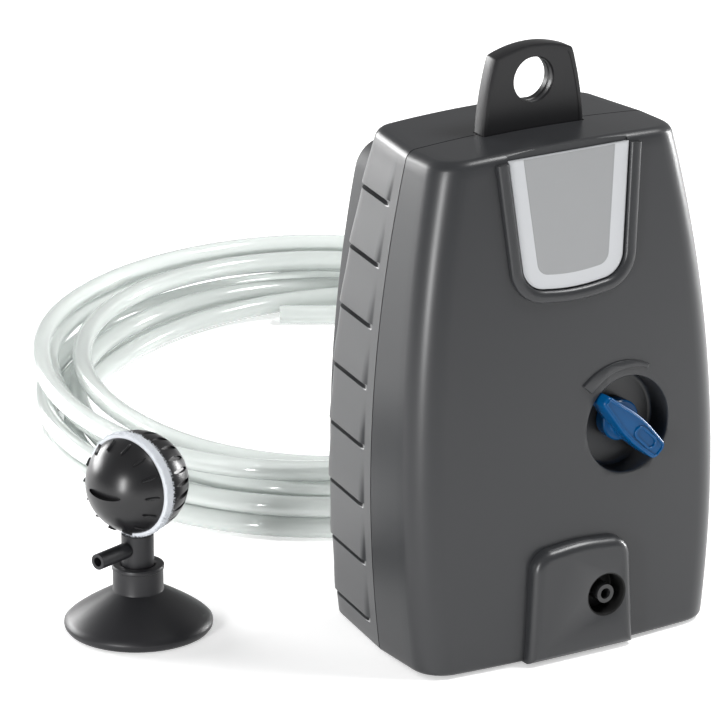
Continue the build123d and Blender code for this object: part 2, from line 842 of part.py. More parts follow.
with BuildPart() as chassis_screws:
    for z in (chassis_low + 6, chassis_high - 6):
        with BuildSketch(Plane.XZ.offset(-chassis_front)):
            with Locations((-chassis_screw_x, z), (chassis_screw_x, z)):
                Circle(screw_head_radius)
        extrude(amount=1.6)
        with BuildSketch(Plane.XZ.offset(-chassis_front)):
            with Locations((-chassis_screw_x, z), (chassis_screw_x, z)):
                Circle(screw_shaft_radius)
        extrude(amount=-(chassis_thickness + 3))
chassis_screws.part.label = "chassis_screws"

arm_front = core_y - arm_width / 2
arm_rear = core_y + arm_width / 2

with BuildPart() as arm_pivot_pins:
    with BuildSketch(Plane.XZ.offset(-(arm_front - 1.5))):
        with Locations((-arm_axis_x, pivot_z), (arm_axis_x, pivot_z)):
            Circle(pivot_radius)
    extrude(amount=-(chassis_rear - arm_front + 1.5))
arm_pivot_pins.part.label = "arm_pivot_pins"

# ---------------------------------------------------------------- swing arms and magnets

magnet_low = pole_z + magnet_gap
magnet_inner = core_centre_leg / 2 + leg_window / 2 - magnet_width / 2
holder_low = magnet_low + magnet_height
arm_top = holder_low + 2.7


def swing_arm(side):
    """Lever with a pivot eye, a stud for the diaphragm and a top bar for the magnet."""
    with BuildPart() as arm:
        with BuildSketch(Plane.XZ.offset(-arm_front)):
            with Locations((side * arm_axis_x, (pivot_z + arm_top) / 2)):
                Rectangle(arm_thickness, arm_top - pivot_z)
            with Locations((side * arm_axis_x, pivot_z)):
                Circle(arm_eye_radius)
                Circle(pivot_radius + running_gap, mode=Mode.SUBTRACT)
            with Locations((side * (magnet_inner + arm_outer) / 2, (holder_low + arm_top) / 2)):
                Rectangle(arm_outer - magnet_inner, arm_top - holder_low)
        extrude(amount=-arm_width)
        with BuildSketch(Plane.YZ.offset(side * (arm_outer - 0.5))):
            with Locations((core_y, diaphragm_z)):
                Circle(stud_radius)
        extrude(amount=side * (diaphragm_outer - diaphragm_travel - arm_outer))
    return arm.part


def arm_magnet(side):
    """Block magnet under the top bar of a swing arm."""
    with BuildPart() as magnet:
        with BuildSketch(Plane.XY.offset(magnet_low)):
            with Locations((side * (magnet_inner + magnet_width / 2), core_y)):
                Rectangle(magnet_width, arm_width - 1)
        extrude(amount=magnet_height)
    return magnet.part


def diaphragm(side):
    """Rubber cup between a swing arm and its air box, with a hole for the stud."""
    hole = stud_radius + 0.6
    with BuildPart() as cup:
        with BuildSketch(Plane.XY.offset(diaphragm_z)):
            with BuildLine():
                Polyline(
                    (side * diaphragm_inner, core_y + hole),
                    (side * diaphragm_inner, core_y + hole + 3),
                    (side * (diaphragm_outer - 2.2), core_y + diaphragm_radius - 1.5),
                    (side * (diaphragm_outer - 2.2), core_y + diaphragm_radius),
                    (side * (diaphragm_outer - 0.1), core_y + diaphragm_radius),
                    (side * (diaphragm_outer - 0.1), core_y + diaphragm_radius - 2.5),
                    (side * (diaphragm_inner + 1.6), core_y + hole + 1.5),
                    (side * (diaphragm_inner + 1.6), core_y + hole),
                    close=True,
                )
            make_face()
        revolve(axis=Axis((0, core_y, diaphragm_z), (1, 0, 0)))
    return cup.part


def air_box(side):
    """Pump chamber with a round pocket towards the diaphragm and a port at its top."""
    with BuildPart() as box:
        with BuildSketch(Plane.XY.offset(diaphragm_z - air_box_side / 2)):
            with Locations((side * (box_inner + box_outer) / 2, core_y)):
                Rectangle(box_outer - box_inner, air_box_side)
        extrude(amount=air_box_side)
        fillet(box.edges().filter_by(Axis.Z), 1.5)
        with BuildSketch(Plane.YZ.offset(side * (box_inner - 1))):
            with Locations((core_y, diaphragm_z)):
                Circle(pocket_radius)
        extrude(amount=side * (pocket_depth + 1), mode=Mode.SUBTRACT)
        with BuildSketch(Plane.XY.offset(diaphragm_z)):
            with Locations((side * (box_inner + pocket_depth / 2), core_y)):
                Circle(duct_bore_radius)
        extrude(amount=air_box_side - 4 - air_box_side / 2, mode=Mode.SUBTRACT)
        with BuildSketch(Plane.XY.offset(diaphragm_z + air_box_side / 2 - 6)):
            with Locations((side * duct_x, core_y)):
                Circle(duct_bore_radius)
        extrude(amount=7, mode=Mode.SUBTRACT)
    return box.part


os.makedirs("parts", exist_ok=True)
for side_name, side in (("left", -1), ("right", 1)):
    pieces = {
        "swing_arm": swing_arm(side),
        "arm_magnet": arm_magnet(side),
        "diaphragm": diaphragm(side),
        "air_box": air_box(side),
    }
    for piece_name, piece in pieces.items():
        piece.label = f"{piece_name}_{side_name}"
        export_step(piece, f"parts/{piece.label}.step")

with BuildPart() as valve_flaps:
    for side in (-1, 1):
        with BuildSketch(Plane.YZ.offset(side * (box_inner + pocket_depth - 0.7))):
            with Locations((core_y, diaphragm_z - 3.2), (core_y, diaphragm_z + 3.2)):
                Circle(2.6)
        extrude(amount=side * 0.6)
valve_flaps.part.label = "valve_flaps"

# ---------------------------------------------------------------- air manifold

duct_low = diaphragm_z + air_box_side / 2 + 0.05
valve_inlet_z = knob_z + sqrt(valve_radius**2 - duct_radius**2) + 0.6


def manifold_ducts(radius):
    """Risers from both air boxes, the gallery over the arms and the branch to the valve."""
    with BuildPart() as ducts:
        with BuildSketch(Plane.XY.offset(duct_low)):
            with Locations((-duct_x, core_y), (duct_x, core_y)):
                Circle(radius)
        extrude(amount=gallery_z - duct_low)
        with BuildSketch(Plane.YZ.offset(-duct_x)):
            with Locations((core_y, gallery_z)):
                Circle(radius)
        extrude(amount=2 * duct_x)
        with BuildSketch(Plane.XZ.offset(-core_y)):
            with Locations((knob_x, gallery_z)):
                Circle(radius)
        extrude(amount=core_y + valve_port_y)
        with BuildSketch(Plane.XY.offset(valve_inlet_z)):
            with Locations((knob_x, -valve_port_y)):
                Circle(radius)
        extrude(amount=gallery_z - valve_inlet_z)
        for place in ((-duct_x, core_y), (duct_x, core_y), (knob_x, -valve_port_y)):
            with Locations((*place, gallery_z)):
                Sphere(radius)
    return ducts.part


with BuildPart() as air_manifold:
    add(manifold_ducts(duct_radius))
    add(manifold_ducts(duct_bore_radius), mode=Mode.SUBTRACT)
    for height in (duct_low - 1, valve_inlet_z - 1):
        places = [(-duct_x, core_y), (duct_x, core_y)]
        with BuildSketch(Plane.XY.offset(height)):
            with Locations(*(places if height < gallery_z - 15 else [(knob_x, -valve_port_y)])):
                Circle(duct_bore_radius)
        extrude(amount=3, mode=Mode.SUBTRACT)
air_manifold.part.label = "air_manifold"

# ---------------------------------------------------------------- mains entry

with BuildPart() as cable_gland:
    gland_back = rear_depth + cover_standoff - 0.5
    with BuildSketch(Plane.XZ.offset(-(rear_depth - 5))):
        with Locations((0, gland_z)):
            Circle(gland_radius)
    extrude(amount=-(gland_back - rear_depth + 5))
    with BuildSketch(Plane.XZ.offset(-(rear_reach(gland_z) + 0.1))):
        with Locations((0, gland_z)):
            Circle(gland_radius + 2)
    extrude(amount=-1.2)
    with BuildSketch(Plane.XZ.offset(-(rear_depth - 6))):
        with Locations((0, gland_z)):
            Circle(cable_radius)
    extrude(amount=-20, mode=Mode.SUBTRACT)
cable_gland.part.label = "cable_gland"

with BuildPart() as terminal_block:
    with BuildSketch(Plane.XZ.offset(-(chassis_rear + 0.05))) as block_sketch:
        with Locations((0, chassis_low + 14)):
            Rectangle(20, 10)
    extrude(amount=-5)
    with BuildSketch(Plane.XZ.offset(-(chassis_rear + 3))):
        with Locations((-5, chassis_low + 14), (5, chassis_low + 14)):
            Circle(2.2)
    extrude(amount=-3, mode=Mode.SUBTRACT)
terminal_block.part.label = "terminal_block"

# ---------------------------------------------------------------- ball diffuser

heading = radians(diffuser_heading)
facing = (cos(heading), sin(heading), 0)
cup_axis = Axis((diffuser_x, diffuser_y, 0), (0, 0, 1))
ball_plane = Plane(origin=(diffuser_x, diffuser_y, ball_z), x_dir=(0, 0, 1), z_dir=facing)
nipple_plane = Plane(origin=(diffuser_x, diffuser_y, nipple_z), x_dir=(0, 0, 1), z_dir=facing)
upright_plane = Plane(origin=(diffuser_x, diffuser_y, 0), x_dir=(1, 0, 0), z_dir=(0, -1, 0))
spigot_low = 4.5

with BuildPart() as suction_cup:
    with BuildSketch(upright_plane):
        with BuildLine():
            Polyline(
                (0, cup_hollow),
                (0, collar_top),
                (collar_radius, collar_top),
                (collar_radius, cup_cone_height),
            )
            ThreePointArc(
                (collar_radius, cup_cone_height),
                (collar_radius + (cup_radius - collar_radius) * 0.5, cup_cone_height * 0.52),
                (cup_radius, 2.0),
            )
            Polyline(
                (cup_radius, 2.0),
                (cup_radius - 0.8, 0),
                (cup_radius - 2.2, 0),
                (4, cup_hollow),
                (0, cup_hollow),
            )
        make_face()
    revolve(axis=cup_axis)
    with BuildSketch(Plane.XY.offset(spigot_low)):
        with Locations((diffuser_x, diffuser_y)):
            Circle(spigot_radius + running_gap)
    extrude(amount=collar_top, mode=Mode.SUBTRACT)
    with BuildSketch(Plane.XY.offset(collar_top - 2)):
        with Locations((diffuser_x, diffuser_y)):
            Circle(stem_radius + running_gap)
    extrude(amount=5, mode=Mode.SUBTRACT)
suction_cup.part.label = "suction_cup"

felt_rear = felt_centre - felt_thickness / 2
felt_front = felt_centre + felt_thickness / 2
felt_radius = sqrt(ball_radius**2 - felt_rear**2) + 0.3
hub_bore_radius = 4.0
stem_top = ball_z - felt_radius - fit_gap

with BuildPart() as diffuser_stem:
    with BuildSketch(Plane.XY.offset(spigot_low + 0.3)):
        with Locations((diffuser_x, diffuser_y)):
            Circle(spigot_radius)
    extrude(amount=collar_top - 2 - spigot_low)
    with BuildSketch(Plane.XY.offset(collar_top - 1.7)):
        with Locations((diffuser_x, diffuser_y)):
            Circle(stem_radius)
    extrude(amount=stem_top - collar_top + 1.7)
    with BuildSketch(nipple_plane):
        Circle(nipple_root_radius)
    extrude(amount=nipple_reach)
    with BuildSketch(nipple_plane.offset(stem_radius + 0.6)):
        Circle(nipple_radius)
    extrude(amount=nipple_reach - stem_radius - 0.6)
    with BuildSketch(nipple_plane):
        Circle(nipple_bore_radius)
    extrude(amount=2 * nipple_reach, mode=Mode.SUBTRACT)
    with BuildSketch(Plane.XY.offset(nipple_z - 1)):
        with Locations((diffuser_x, diffuser_y)):
            Circle(nipple_bore_radius)
    extrude(amount=ball_z - nipple_z, mode=Mode.SUBTRACT)
diffuser_stem.part.label = "diffuser_stem"

meridian_plane = Plane(
    origin=(diffuser_x, diffuser_y, ball_z),
    x_dir=facing,
    z_dir=(-sin(heading), cos(heading), 0),
)
ball_axis = Axis((diffuser_x, diffuser_y, ball_z), facing)


def shell_profile(radius, start, end):
    """Half section of a hollow ball between two distances along its axis."""
    inner = radius - ball_wall
    with BuildSketch(meridian_plane) as profile:
        with Locations((0, 0)):
            Circle(radius)
            Circle(inner, mode=Mode.SUBTRACT)
        with Locations(((start + end) / 2, ball_radius / 2)):
            Rectangle(end - start, ball_radius, mode=Mode.INTERSECT)
    return profile.sketch


with BuildPart() as ball_rear_shell:
    revolve(shell_profile(ball_radius, -ball_radius, felt_rear), axis=ball_axis)
    with BuildSketch(Plane.XY.offset(stem_top)):
        with Locations((diffuser_x, diffuser_y)):
            Circle(stem_radius)
            Circle(nipple_bore_radius, mode=Mode.SUBTRACT)
    extrude(amount=3.2)
    split(bisect_by=ball_plane.offset(felt_rear), keep=Keep.BOTTOM)
    with BuildSketch(ball_plane.offset(-ball_radius + ball_wall / 2)):
        Circle(hub_bore_radius + 1.6)
        Circle(hub_bore_radius + running_gap, mode=Mode.SUBTRACT)
    extrude(amount=ball_radius - ball_wall / 2 + felt_rear)
ball_rear_shell.part.label = "ball_rear_shell"

with BuildPart() as felt_ring:
    with BuildSketch(ball_plane.offset(felt_rear)):
        Circle(felt_radius)
        Circle(hub_bore_radius + 1.7, mode=Mode.SUBTRACT)
    extrude(amount=felt_thickness)
felt_ring.part.label = "felt_ring"

cap_back = felt_front + fit_gap

with BuildPart() as ball_front_cap:
    revolve(shell_profile(ball_radius - 0.2, cap_back, ball_radius), axis=ball_axis)
    with BuildSketch(ball_plane.offset(-ball_radius + 2 * ball_wall + fit_gap)):
        Circle(hub_bore_radius)
    extrude(amount=2 * ball_radius - 3 * ball_wall - fit_gap)
    with BuildSketch(ball_plane.offset(ball_radius - 1.6)):
        Rectangle(1.3, 9.5)
    extrude(amount=4, mode=Mode.SUBTRACT)
ball_front_cap.part.label = "ball_front_cap"

# ---------------------------------------------------------------- air hose

coil_turn = radians(coil_heading)
coil_plane = Plane(
    origin=(coil_x, coil_y, 0),
    x_dir=(cos(coil_turn), sin(coil_turn), 0),
    z_dir=(0, 0, 1),
)

with BuildPart() as hose_coil:
    with BuildSketch(coil_plane):
        Ellipse(coil_half_length, coil_half_width)
        Ellipse(coil_half_length - coil_band, coil_half_width - coil_band, mode=Mode.SUBTRACT)
    extrude(amount=coil_height)
    chamfer(hose_coil.edges().group_by(Axis.Z)[-1], 5)
hose_coil.part.label = "hose_coil"

free_end_route = [(x, y, hose_radius) for x, y in free_end_points]
free_end_radii = arc_radii(free_end_route)
print("hose free end radii", [round(radius, 1) for radius in free_end_radii])

with BuildPart() as hose_free_end:
    with BuildLine() as free_route:
        FilletPolyline(*free_end_route, radius=free_end_radii)
    with BuildSketch(Plane(free_route.line @ 0, z_dir=free_route.line % 0)):
        Circle(hose_radius)
    sweep()
hose_free_end.part.label = "hose_free_end"

# ---------------------------------------------------------------- write every piece

finished = [
    front_shell,
    rear_shell,
    back_cover,
    filter_pad,
    nameplate,
    rubber_feet,
    housing_screws,
    hanging_tab,
    control_knob,
    valve_spindle,
    flow_valve_body,
    outlet_nozzle,
    inner_hose,
    magnet_core,
    coil_bobbin,
    coil_winding,
    core_strap,
    chassis_plate,
    chassis_screws,
    arm_pivot_pins,
    valve_flaps,
    air_manifold,
    cable_gland,
    terminal_block,
    suction_cup,
    diffuser_stem,
    ball_rear_shell,
    felt_ring,
    ball_front_cap,
    hose_coil,
    hose_free_end,
]
for item in finished:
    export_step(item.part, f"parts/{item.part.label}.step")
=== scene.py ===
from math import acos, asin, atan2, cos, hypot, pi, radians, sin, sqrt, tan

import bmesh
import bpy
import numpy as np
from mathutils import Matrix, Vector


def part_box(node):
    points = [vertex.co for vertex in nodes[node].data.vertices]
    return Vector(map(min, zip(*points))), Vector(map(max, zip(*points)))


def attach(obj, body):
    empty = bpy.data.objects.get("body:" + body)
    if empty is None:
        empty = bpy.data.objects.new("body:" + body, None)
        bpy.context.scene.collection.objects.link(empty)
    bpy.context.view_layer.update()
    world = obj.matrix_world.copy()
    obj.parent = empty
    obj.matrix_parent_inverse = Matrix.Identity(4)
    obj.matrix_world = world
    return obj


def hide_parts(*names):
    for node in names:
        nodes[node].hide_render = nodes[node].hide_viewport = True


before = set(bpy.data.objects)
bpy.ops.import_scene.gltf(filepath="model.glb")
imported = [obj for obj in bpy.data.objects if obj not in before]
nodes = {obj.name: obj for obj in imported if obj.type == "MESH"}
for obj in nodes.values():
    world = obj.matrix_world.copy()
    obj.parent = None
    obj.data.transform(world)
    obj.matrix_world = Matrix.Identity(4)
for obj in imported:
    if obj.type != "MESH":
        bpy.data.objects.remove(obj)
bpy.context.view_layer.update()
MM = 0.001

# ---------------------------------------------------------------- studio
# A pale glowing floor under a soft white sky, and a long lens 1.4 m away. A broad panel stands
# behind on the left, a narrow one at the front left, a small one above and a narrow one on the right.

camera_data = bpy.data.cameras.new("camera")
camera_data.lens = 260.0
camera_data.sensor_width = 36.0
camera_data.clip_end = 20.0
camera = bpy.data.objects.new("camera", camera_data)
bpy.context.scene.collection.objects.link(camera)
bpy.context.scene.camera = camera
camera_turn = radians(-31.173)
camera_rise = radians(19.047)
camera_back = Vector(
    (sin(camera_turn) * cos(camera_rise), -cos(camera_turn) * cos(camera_rise), sin(camera_rise))
)
camera.location = Vector((-0.72068, -1.10566, 0.53089))
camera.rotation_mode = "QUATERNION"
camera.rotation_quaternion = (-camera_back).to_track_quat("-Z", "Y")

scene = bpy.context.scene
scene.view_settings.view_transform = "Standard"

world = bpy.data.worlds.new("white_sky")
world.use_nodes = True
world.node_tree.nodes["Background"].inputs["Color"].default_value = (1.0, 1.0, 1.0, 1.0)
world.node_tree.nodes["Background"].inputs["Strength"].default_value = 0.32
scene.world = world


def light_panel(name, place, target, width, height, watts):
    """Rectangular soft light at a place, turned to its target."""
    data = bpy.data.lights.new(name, "AREA")
    data.shape = "RECTANGLE"
    data.size = width
    data.size_y = height
    data.energy = watts
    lamp = bpy.data.objects.new(name, data)
    scene.collection.objects.link(lamp)
    lamp.location = place
    lamp.rotation_mode = "QUATERNION"
    lamp.rotation_quaternion = (Vector(target) - Vector(place)).to_track_quat("-Z", "Y")


pump_middle = (0.0, 0.0, 0.07)
light_panel("panel_left", (-0.50, 1.18, 0.34), pump_middle, 0.9, 0.4, 18.0)
light_panel("panel_corner", (-0.98, -0.46, 0.24), pump_middle, 0.13, 0.46, 8.0)
light_panel("panel_top", (0.46, -0.26, 0.90), pump_middle, 0.35, 0.3, 9.0)
light_panel("panel_right", (1.05, 0.08, 0.18), pump_middle, 0.16, 0.34, 8.0)


def new_finish(name, colour):
    """Material of one colour, and its shader."""
    material = bpy.data.materials.new(name)
    material.use_nodes = True
    shader = material.node_tree.nodes["Principled BSDF"]
    shader.inputs["Base Color"].default_value = (*colour, 1.0)
    return material, shader


FLOOR_HALF = 30.0
floor_mesh = bpy.data.meshes.new("floor")
floor_corners = [(-FLOOR_HALF, -FLOOR_HALF, 0), (FLOOR_HALF, -FLOOR_HALF, 0)]
floor_corners += [(FLOOR_HALF, FLOOR_HALF, 0), (-FLOOR_HALF, FLOOR_HALF, 0)]
floor_mesh.from_pydata(floor_corners, [], [(0, 1, 2, 3)])
floor = bpy.data.objects.new("floor", floor_mesh)
scene.collection.objects.link(floor)
floor_material, floor_shader = new_finish("pale_floor", (0.93, 0.93, 0.93))
floor_shader.inputs["Roughness"].default_value = 0.8
floor_shader.inputs["Specular IOR Level"].default_value = 0.1
floor_shader.inputs["Emission Color"].default_value = (1.0, 1.0, 1.0, 1.0)
floor_shader.inputs["Emission Strength"].default_value = 0.40
floor_mesh.materials.append(floor_material)

# ---------------------------------------------------------------- air hose
# Clear soft PVC hose, 4 mm bore and 6 mm outside, in seven loose turns on the floor.
# It is extruded and cut square, and neither end is fixed to anything.

HOSE_RADIUS = 3.0
HOSE_CENTRE = np.array([43.0, 176.0])
HOSE_HEADING = radians(58.8)
HOSE_TURNS = 7
POINTS_PER_TURN = 48
COIL_HALF_LENGTH = 113.0
COIL_HALF_WIDTH = 92.5
COIL_BAND = 29.0
COIL_HEIGHT = 27.0
TURN_STEP = 3.5
LOWEST_GAP = 0.1
SETTLE_STEPS = 110
# Lane of each turn at its right, near, left and far side, from 0 outside to 1 inside the coil
HOSE_LANES = [
    (0.70, 0.05, 0.00, 0.45),
    (0.30, 0.30, 0.32, 0.85),
    (0.90, 0.60, 0.60, 0.60),
    (0.50, 0.00, 0.08, 0.25),
    (0.05, 0.20, 0.45, 0.00),
    (0.40, 0.80, 0.85, 0.50),
    (0.80, 0.45, 0.20, 0.05),
    (0.30,),
]
free_end_points = [(72.0, 254.0), (89.0, 243.4), (105.5, 235.0), (117.0, 225.0)]


def coil_frame(points):
    """Points of the row frame seen from the middle of the coil, along its two axes."""
    along = np.array([cos(HOSE_HEADING), sin(HOSE_HEADING)])
    across = np.array([-sin(HOSE_HEADING), cos(HOSE_HEADING)])
    away = np.asarray(points) - HOSE_CENTRE
    return np.stack([away @ along, away @ across], 1)


def row_frame(local):
    """The same points back in the row frame."""
    along = np.array([cos(HOSE_HEADING), sin(HOSE_HEADING)])
    across = np.array([-sin(HOSE_HEADING), cos(HOSE_HEADING)])
    return HOSE_CENTRE + local[:, :1] * along + local[:, 1:2] * across


def loose_coil():
    """Turns of hose laid one on the other, let down and pushed apart until none cuts another."""
    count = HOSE_TURNS * POINTS_PER_TURN
    turn = np.arange(count) / POINTS_PER_TURN
    last_free = coil_frame(free_end_points[-1:])[0]
    middle_length = COIL_HALF_LENGTH - COIL_BAND / 2
    middle_width = COIL_HALF_WIDTH - COIL_BAND / 2
    start_angle = atan2(last_free[1] / middle_width, last_free[0] / middle_length)
    start_angle -= 2 * pi / POINTS_PER_TURN * 1.5
    angle = start_angle - 2 * pi * turn
    knots = np.concatenate(HOSE_LANES)
    quarter = turn * 4
    before = np.minimum(quarter.astype(int), len(knots) - 2)
    share = quarter - before
    ease = share * share * (3 - 2 * share)
    lane = knots[before] * (1 - ease) + knots[before + 1] * ease
    inset = HOSE_RADIUS + 0.15 + lane * (COIL_BAND - 2 * HOSE_RADIUS - 0.5)
    length, width = COIL_HALF_LENGTH - inset, COIL_HALF_WIDTH - inset
    local = np.stack([length * np.cos(angle), width * np.sin(angle)], 1)
    home = row_frame(local)
    points = np.concatenate([home, (HOSE_RADIUS + TURN_STEP * turn)[:, None]], 1)
    held = np.array([(x, y, HOSE_RADIUS) for x, y in free_end_points])
    points = np.concatenate([held, points])
    home = np.concatenate([held[:, :2], home])
    rest = np.concatenate([home, np.zeros((len(home), 1))], 1)
    index = np.arange(len(points))
    apart = np.abs(index[:, None] - index[None, :-1]) > 4
    apart &= np.abs(index[:, None] - index[None, 1:]) > 4
    reach = 2 * HOSE_RADIUS + LOWEST_GAP
    for step in range(SETTLE_STEPS):
        share = step / (SETTLE_STEPS - 1)
        points[len(held):, 2] -= 0.12 * (1 - share)
        points[len(held):, :2] += 0.05 * (home[len(held):] - points[len(held):, :2])
        bend = points - rest
        bend = (bend[:-2] + bend[2:]) / 2 - bend[1:-1]
        points[len(held):-1] += 0.35 * bend[len(held) - 1:]
        for _ in range(2):
            start = points[:-1]
            run = points[1:] - start
            away = points[:, None, :] - start[None, :, :]
            place = np.clip((away * run[None]).sum(2) / (run * run).sum(1)[None], 0, 1)
            gap = away - place[:, :, None] * run[None]
            distance = np.maximum(np.linalg.norm(gap, axis=2), 1e-6)
            close = apart & (distance < reach)
            push = np.where(close, (reach - distance) / distance, 0.0)[:, :, None] * gap
            moved = push.sum(1) / np.maximum(close.sum(1), 1)[:, None]
            back = push * place[:, :, None]
            front = push - back
            weight = np.maximum(close.sum(0), 1)[:, None]
            shift = np.zeros_like(points)
            shift[:-1] -= front.sum(0) / weight
            shift[1:] -= back.sum(0) / weight
            points[len(held):] += 0.5 * (moved + 0.5 * shift)[len(held):]
            points[:, 2] = np.clip(points[:, 2], HOSE_RADIUS, COIL_HEIGHT - HOSE_RADIUS)
    return points


clear_pvc, hose_shader = new_finish("clear_pvc", (0.80, 0.84, 0.82))
hose_shader.inputs["Roughness"].default_value = 0.14
hose_shader.inputs["IOR"].default_value = 1.45
hose_shader.inputs["Transmission Weight"].default_value = 0.45
hose_shader.inputs["Coat Weight"].default_value = 0.5
hose_shader.inputs["Coat Roughness"].default_value = 0.04
hose_points = loose_coil() * MM
hose_curve = bpy.data.curves.new("air_hose", "CURVE")
hose_curve.dimensions = "3D"
spline = hose_curve.splines.new("NURBS")
spline.points.add(len(hose_points) - 1)
for control, point in zip(spline.points, hose_points):
    control.co = (*point, 1.0)
spline.order_u = 3
spline.use_endpoint_u = True
hose_curve.resolution_u = 3
hose_curve.bevel_depth = HOSE_RADIUS * MM
hose_curve.bevel_resolution = 5
hose_curve.use_fill_caps = True
hose_curve.materials.append(clear_pvc)
air_hose = bpy.data.objects.new("air_hose", hose_curve)
scene.collection.objects.link(air_hose)
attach(air_hose, "hose")
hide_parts("hose_coil", "hose_free_end")

# ---------------------------------------------------------------- front shell
# Injection-moulded front half of the housing in satin dark grey ABS, screwed to the rear half.
# Moulded with it are the nameplate surround, the knob dish with its flow scale, and the foot panel.

PUMP_HEIGHT = 139.8
WIDEST_HALF = 48.5
WIDEST_Z = 48.0
SIDE_RADIUS = 376.0
FRONT_DEPTH = 27.0
FRONT_RADIUS = 1400.0
FRONT_BULGE = 2.4
FRONT_CORNER = 9.0
FOOT_STAND = 0.8
TOP_CROWN = 1.5
SEAM_GAP = 0.2
TOP_EDGE = 2.2
LOW_EDGE = 1.4
WALL = 2.5
SHARP_ANGLE = 32.0


def half_width(z):
    """Half the width of the housing at the seam."""
    return WIDEST_HALF - (z - WIDEST_Z) ** 2 / (2 * SIDE_RADIUS)


def front_reach(z):
    """How far the front shell stands out in the middle."""
    return FRONT_DEPTH - z * z / (2 * FRONT_RADIUS)


def crown(x, z):
    """Rise of the crowned top, which fades out down the housing."""
    blend = min(max((z - 100.0) / (PUMP_HEIGHT - 100.0), 0.0), 1.0)
    return TOP_CROWN * blend * blend * (1.0 - (x / half_width(PUMP_HEIGHT)) ** 2)


def edge_inset(z):
    """How far an outline is drawn in by the rounded top and bottom edges."""
    over = max(z - (PUMP_HEIGHT - TOP_EDGE), 0.0)
    under = max(FOOT_STAND + LOW_EDGE - z, 0.0)
    top = TOP_EDGE - sqrt(max(TOP_EDGE**2 - over**2, 0.0))
    low = LOW_EDGE - sqrt(max(LOW_EDGE**2 - under**2, 0.0))
    return top + low


def front_half_outline(z, inset):
    """Right half of a front outline, from the seam round the corner to the middle."""
    half = half_width(z) - inset
    depth = front_reach(z) - inset
    corner = FRONT_CORNER - min(inset, 3.0)
    big = (half_width(z) ** 2 + FRONT_BULGE**2) / (2 * FRONT_BULGE)
    middle_y = big - depth
    corner_y = middle_y - sqrt((big - corner) ** 2 - (half - corner) ** 2)
    lean = asin((half - corner) / (big - corner))
    points = [(half, -SEAM_GAP + (corner_y + SEAM_GAP) * k / 5) for k in range(5)]
    for k in range(13):
        a = -(pi / 2 - lean) * k / 12
        points.append((half - corner + corner * cos(a), corner_y + corner * sin(a)))
    for k in range(1, 25):
        a = lean * (1 - k / 24)
        points.append((big * sin(a), middle_y - big * cos(a)))
    return points


def shell_levels(extra=()):
    """Heights of the outlines, close together at the rounded edges."""
    top = [PUMP_HEIGHT - TOP_EDGE + TOP_EDGE * sin(radians(a)) for a in (0, 20, 40, 60, 75, 90)]
    low = [FOOT_STAND + LOW_EDGE - LOW_EDGE * sin(radians(a)) for a in (90, 60, 40, 20, 0)]
    between = list(np.linspace(low[-1] + 2.5, top[0] - 2.5, 46))
    return sorted(set(low + between + top) | set(extra))


def make_piece(name, points, faces, material, sharp=SHARP_ANGLE):
    """Mesh object from points in millimetres, closed, facing outwards and smooth up to an angle."""
    mesh = bpy.data.meshes.new(name)
    mesh.from_pydata([tuple(c * MM for c in p) for p in points], [], faces)
    clean = bmesh.new()
    clean.from_mesh(mesh)
    bmesh.ops.remove_doubles(clean, verts=clean.verts, dist=0.002 * MM)
    bmesh.ops.dissolve_degenerate(clean, dist=0.001 * MM, edges=clean.edges)
    bmesh.ops.recalc_face_normals(clean, faces=clean.faces)
    clean.to_mesh(mesh)
    clean.free()
    mesh.shade_smooth()
    mesh.set_sharp_from_angle(angle=radians(sharp))
    if material:
        mesh.materials.append(material)
    piece = bpy.data.objects.new(name, mesh)
    scene.collection.objects.link(piece)
    return piece


def mirrored_shell(name, half_outline, levels, material):
    """Closed shell half whose outlines mirror across X = 0, with ladders over its top and bottom."""
    points = []
    faces = []
    rings = []
    for z in levels:
        right = half_outline(z, edge_inset(z))
        left = [(-x, y) for x, y in reversed(right[:-1])]
        ring = []
        for x, y in right + left:
            ring.append(len(points))
            points.append((x, y, z + crown(x, z)))
        rings.append(ring)
    for low, high in zip(rings, rings[1:]):
        for k in range(len(low) - 1):
            faces.append((low[k], low[k + 1], high[k + 1], high[k]))
    for ring, z in ((rings[0], levels[0]), (rings[-1], levels[-1])):
        columns = 24
        rungs = []
        for k in range(len(ring) // 2):
            right, left = ring[k], ring[-1 - k]
            x0, y0 = points[right][:2]
            rung = [right]
            for c in range(1, columns):
                x = x0 * (1 - 2 * c / columns)
                rung.append(len(points))
                points.append((x, y0, z + crown(x, z)))
            rungs.append(rung + [left])
        for a, b in zip(rungs, rungs[1:]):
            for c in range(columns):
                faces.append((a[c], a[c + 1], b[c + 1], b[c]))
        tip = ring[len(ring) // 2]
        for c in range(columns):
            faces.append((rungs[-1][c], rungs[-1][c + 1], tip))
        if z == levels[0]:
            low_rung = rungs[0]
        else:
            high_rung = rungs[0]
    seam = [ring[0] for ring in rings] + high_rung[1:-1]
    seam += [ring[-1] for ring in reversed(rings)] + low_rung[-2:0:-1]
    faces.append(tuple(seam))
    return make_piece(name, points, faces, material)


def on_front(x, z, rise):
    """Point on the front face at X and Z, raised along its normal."""
    half = half_width(z)
    big = (half**2 + FRONT_BULGE**2) / (2 * FRONT_BULGE)
    y = big - front_reach(z) - sqrt(big**2 - x**2)
    lean = z / FRONT_RADIUS
    return (x + rise * x / big, y - rise, z + rise * lean)


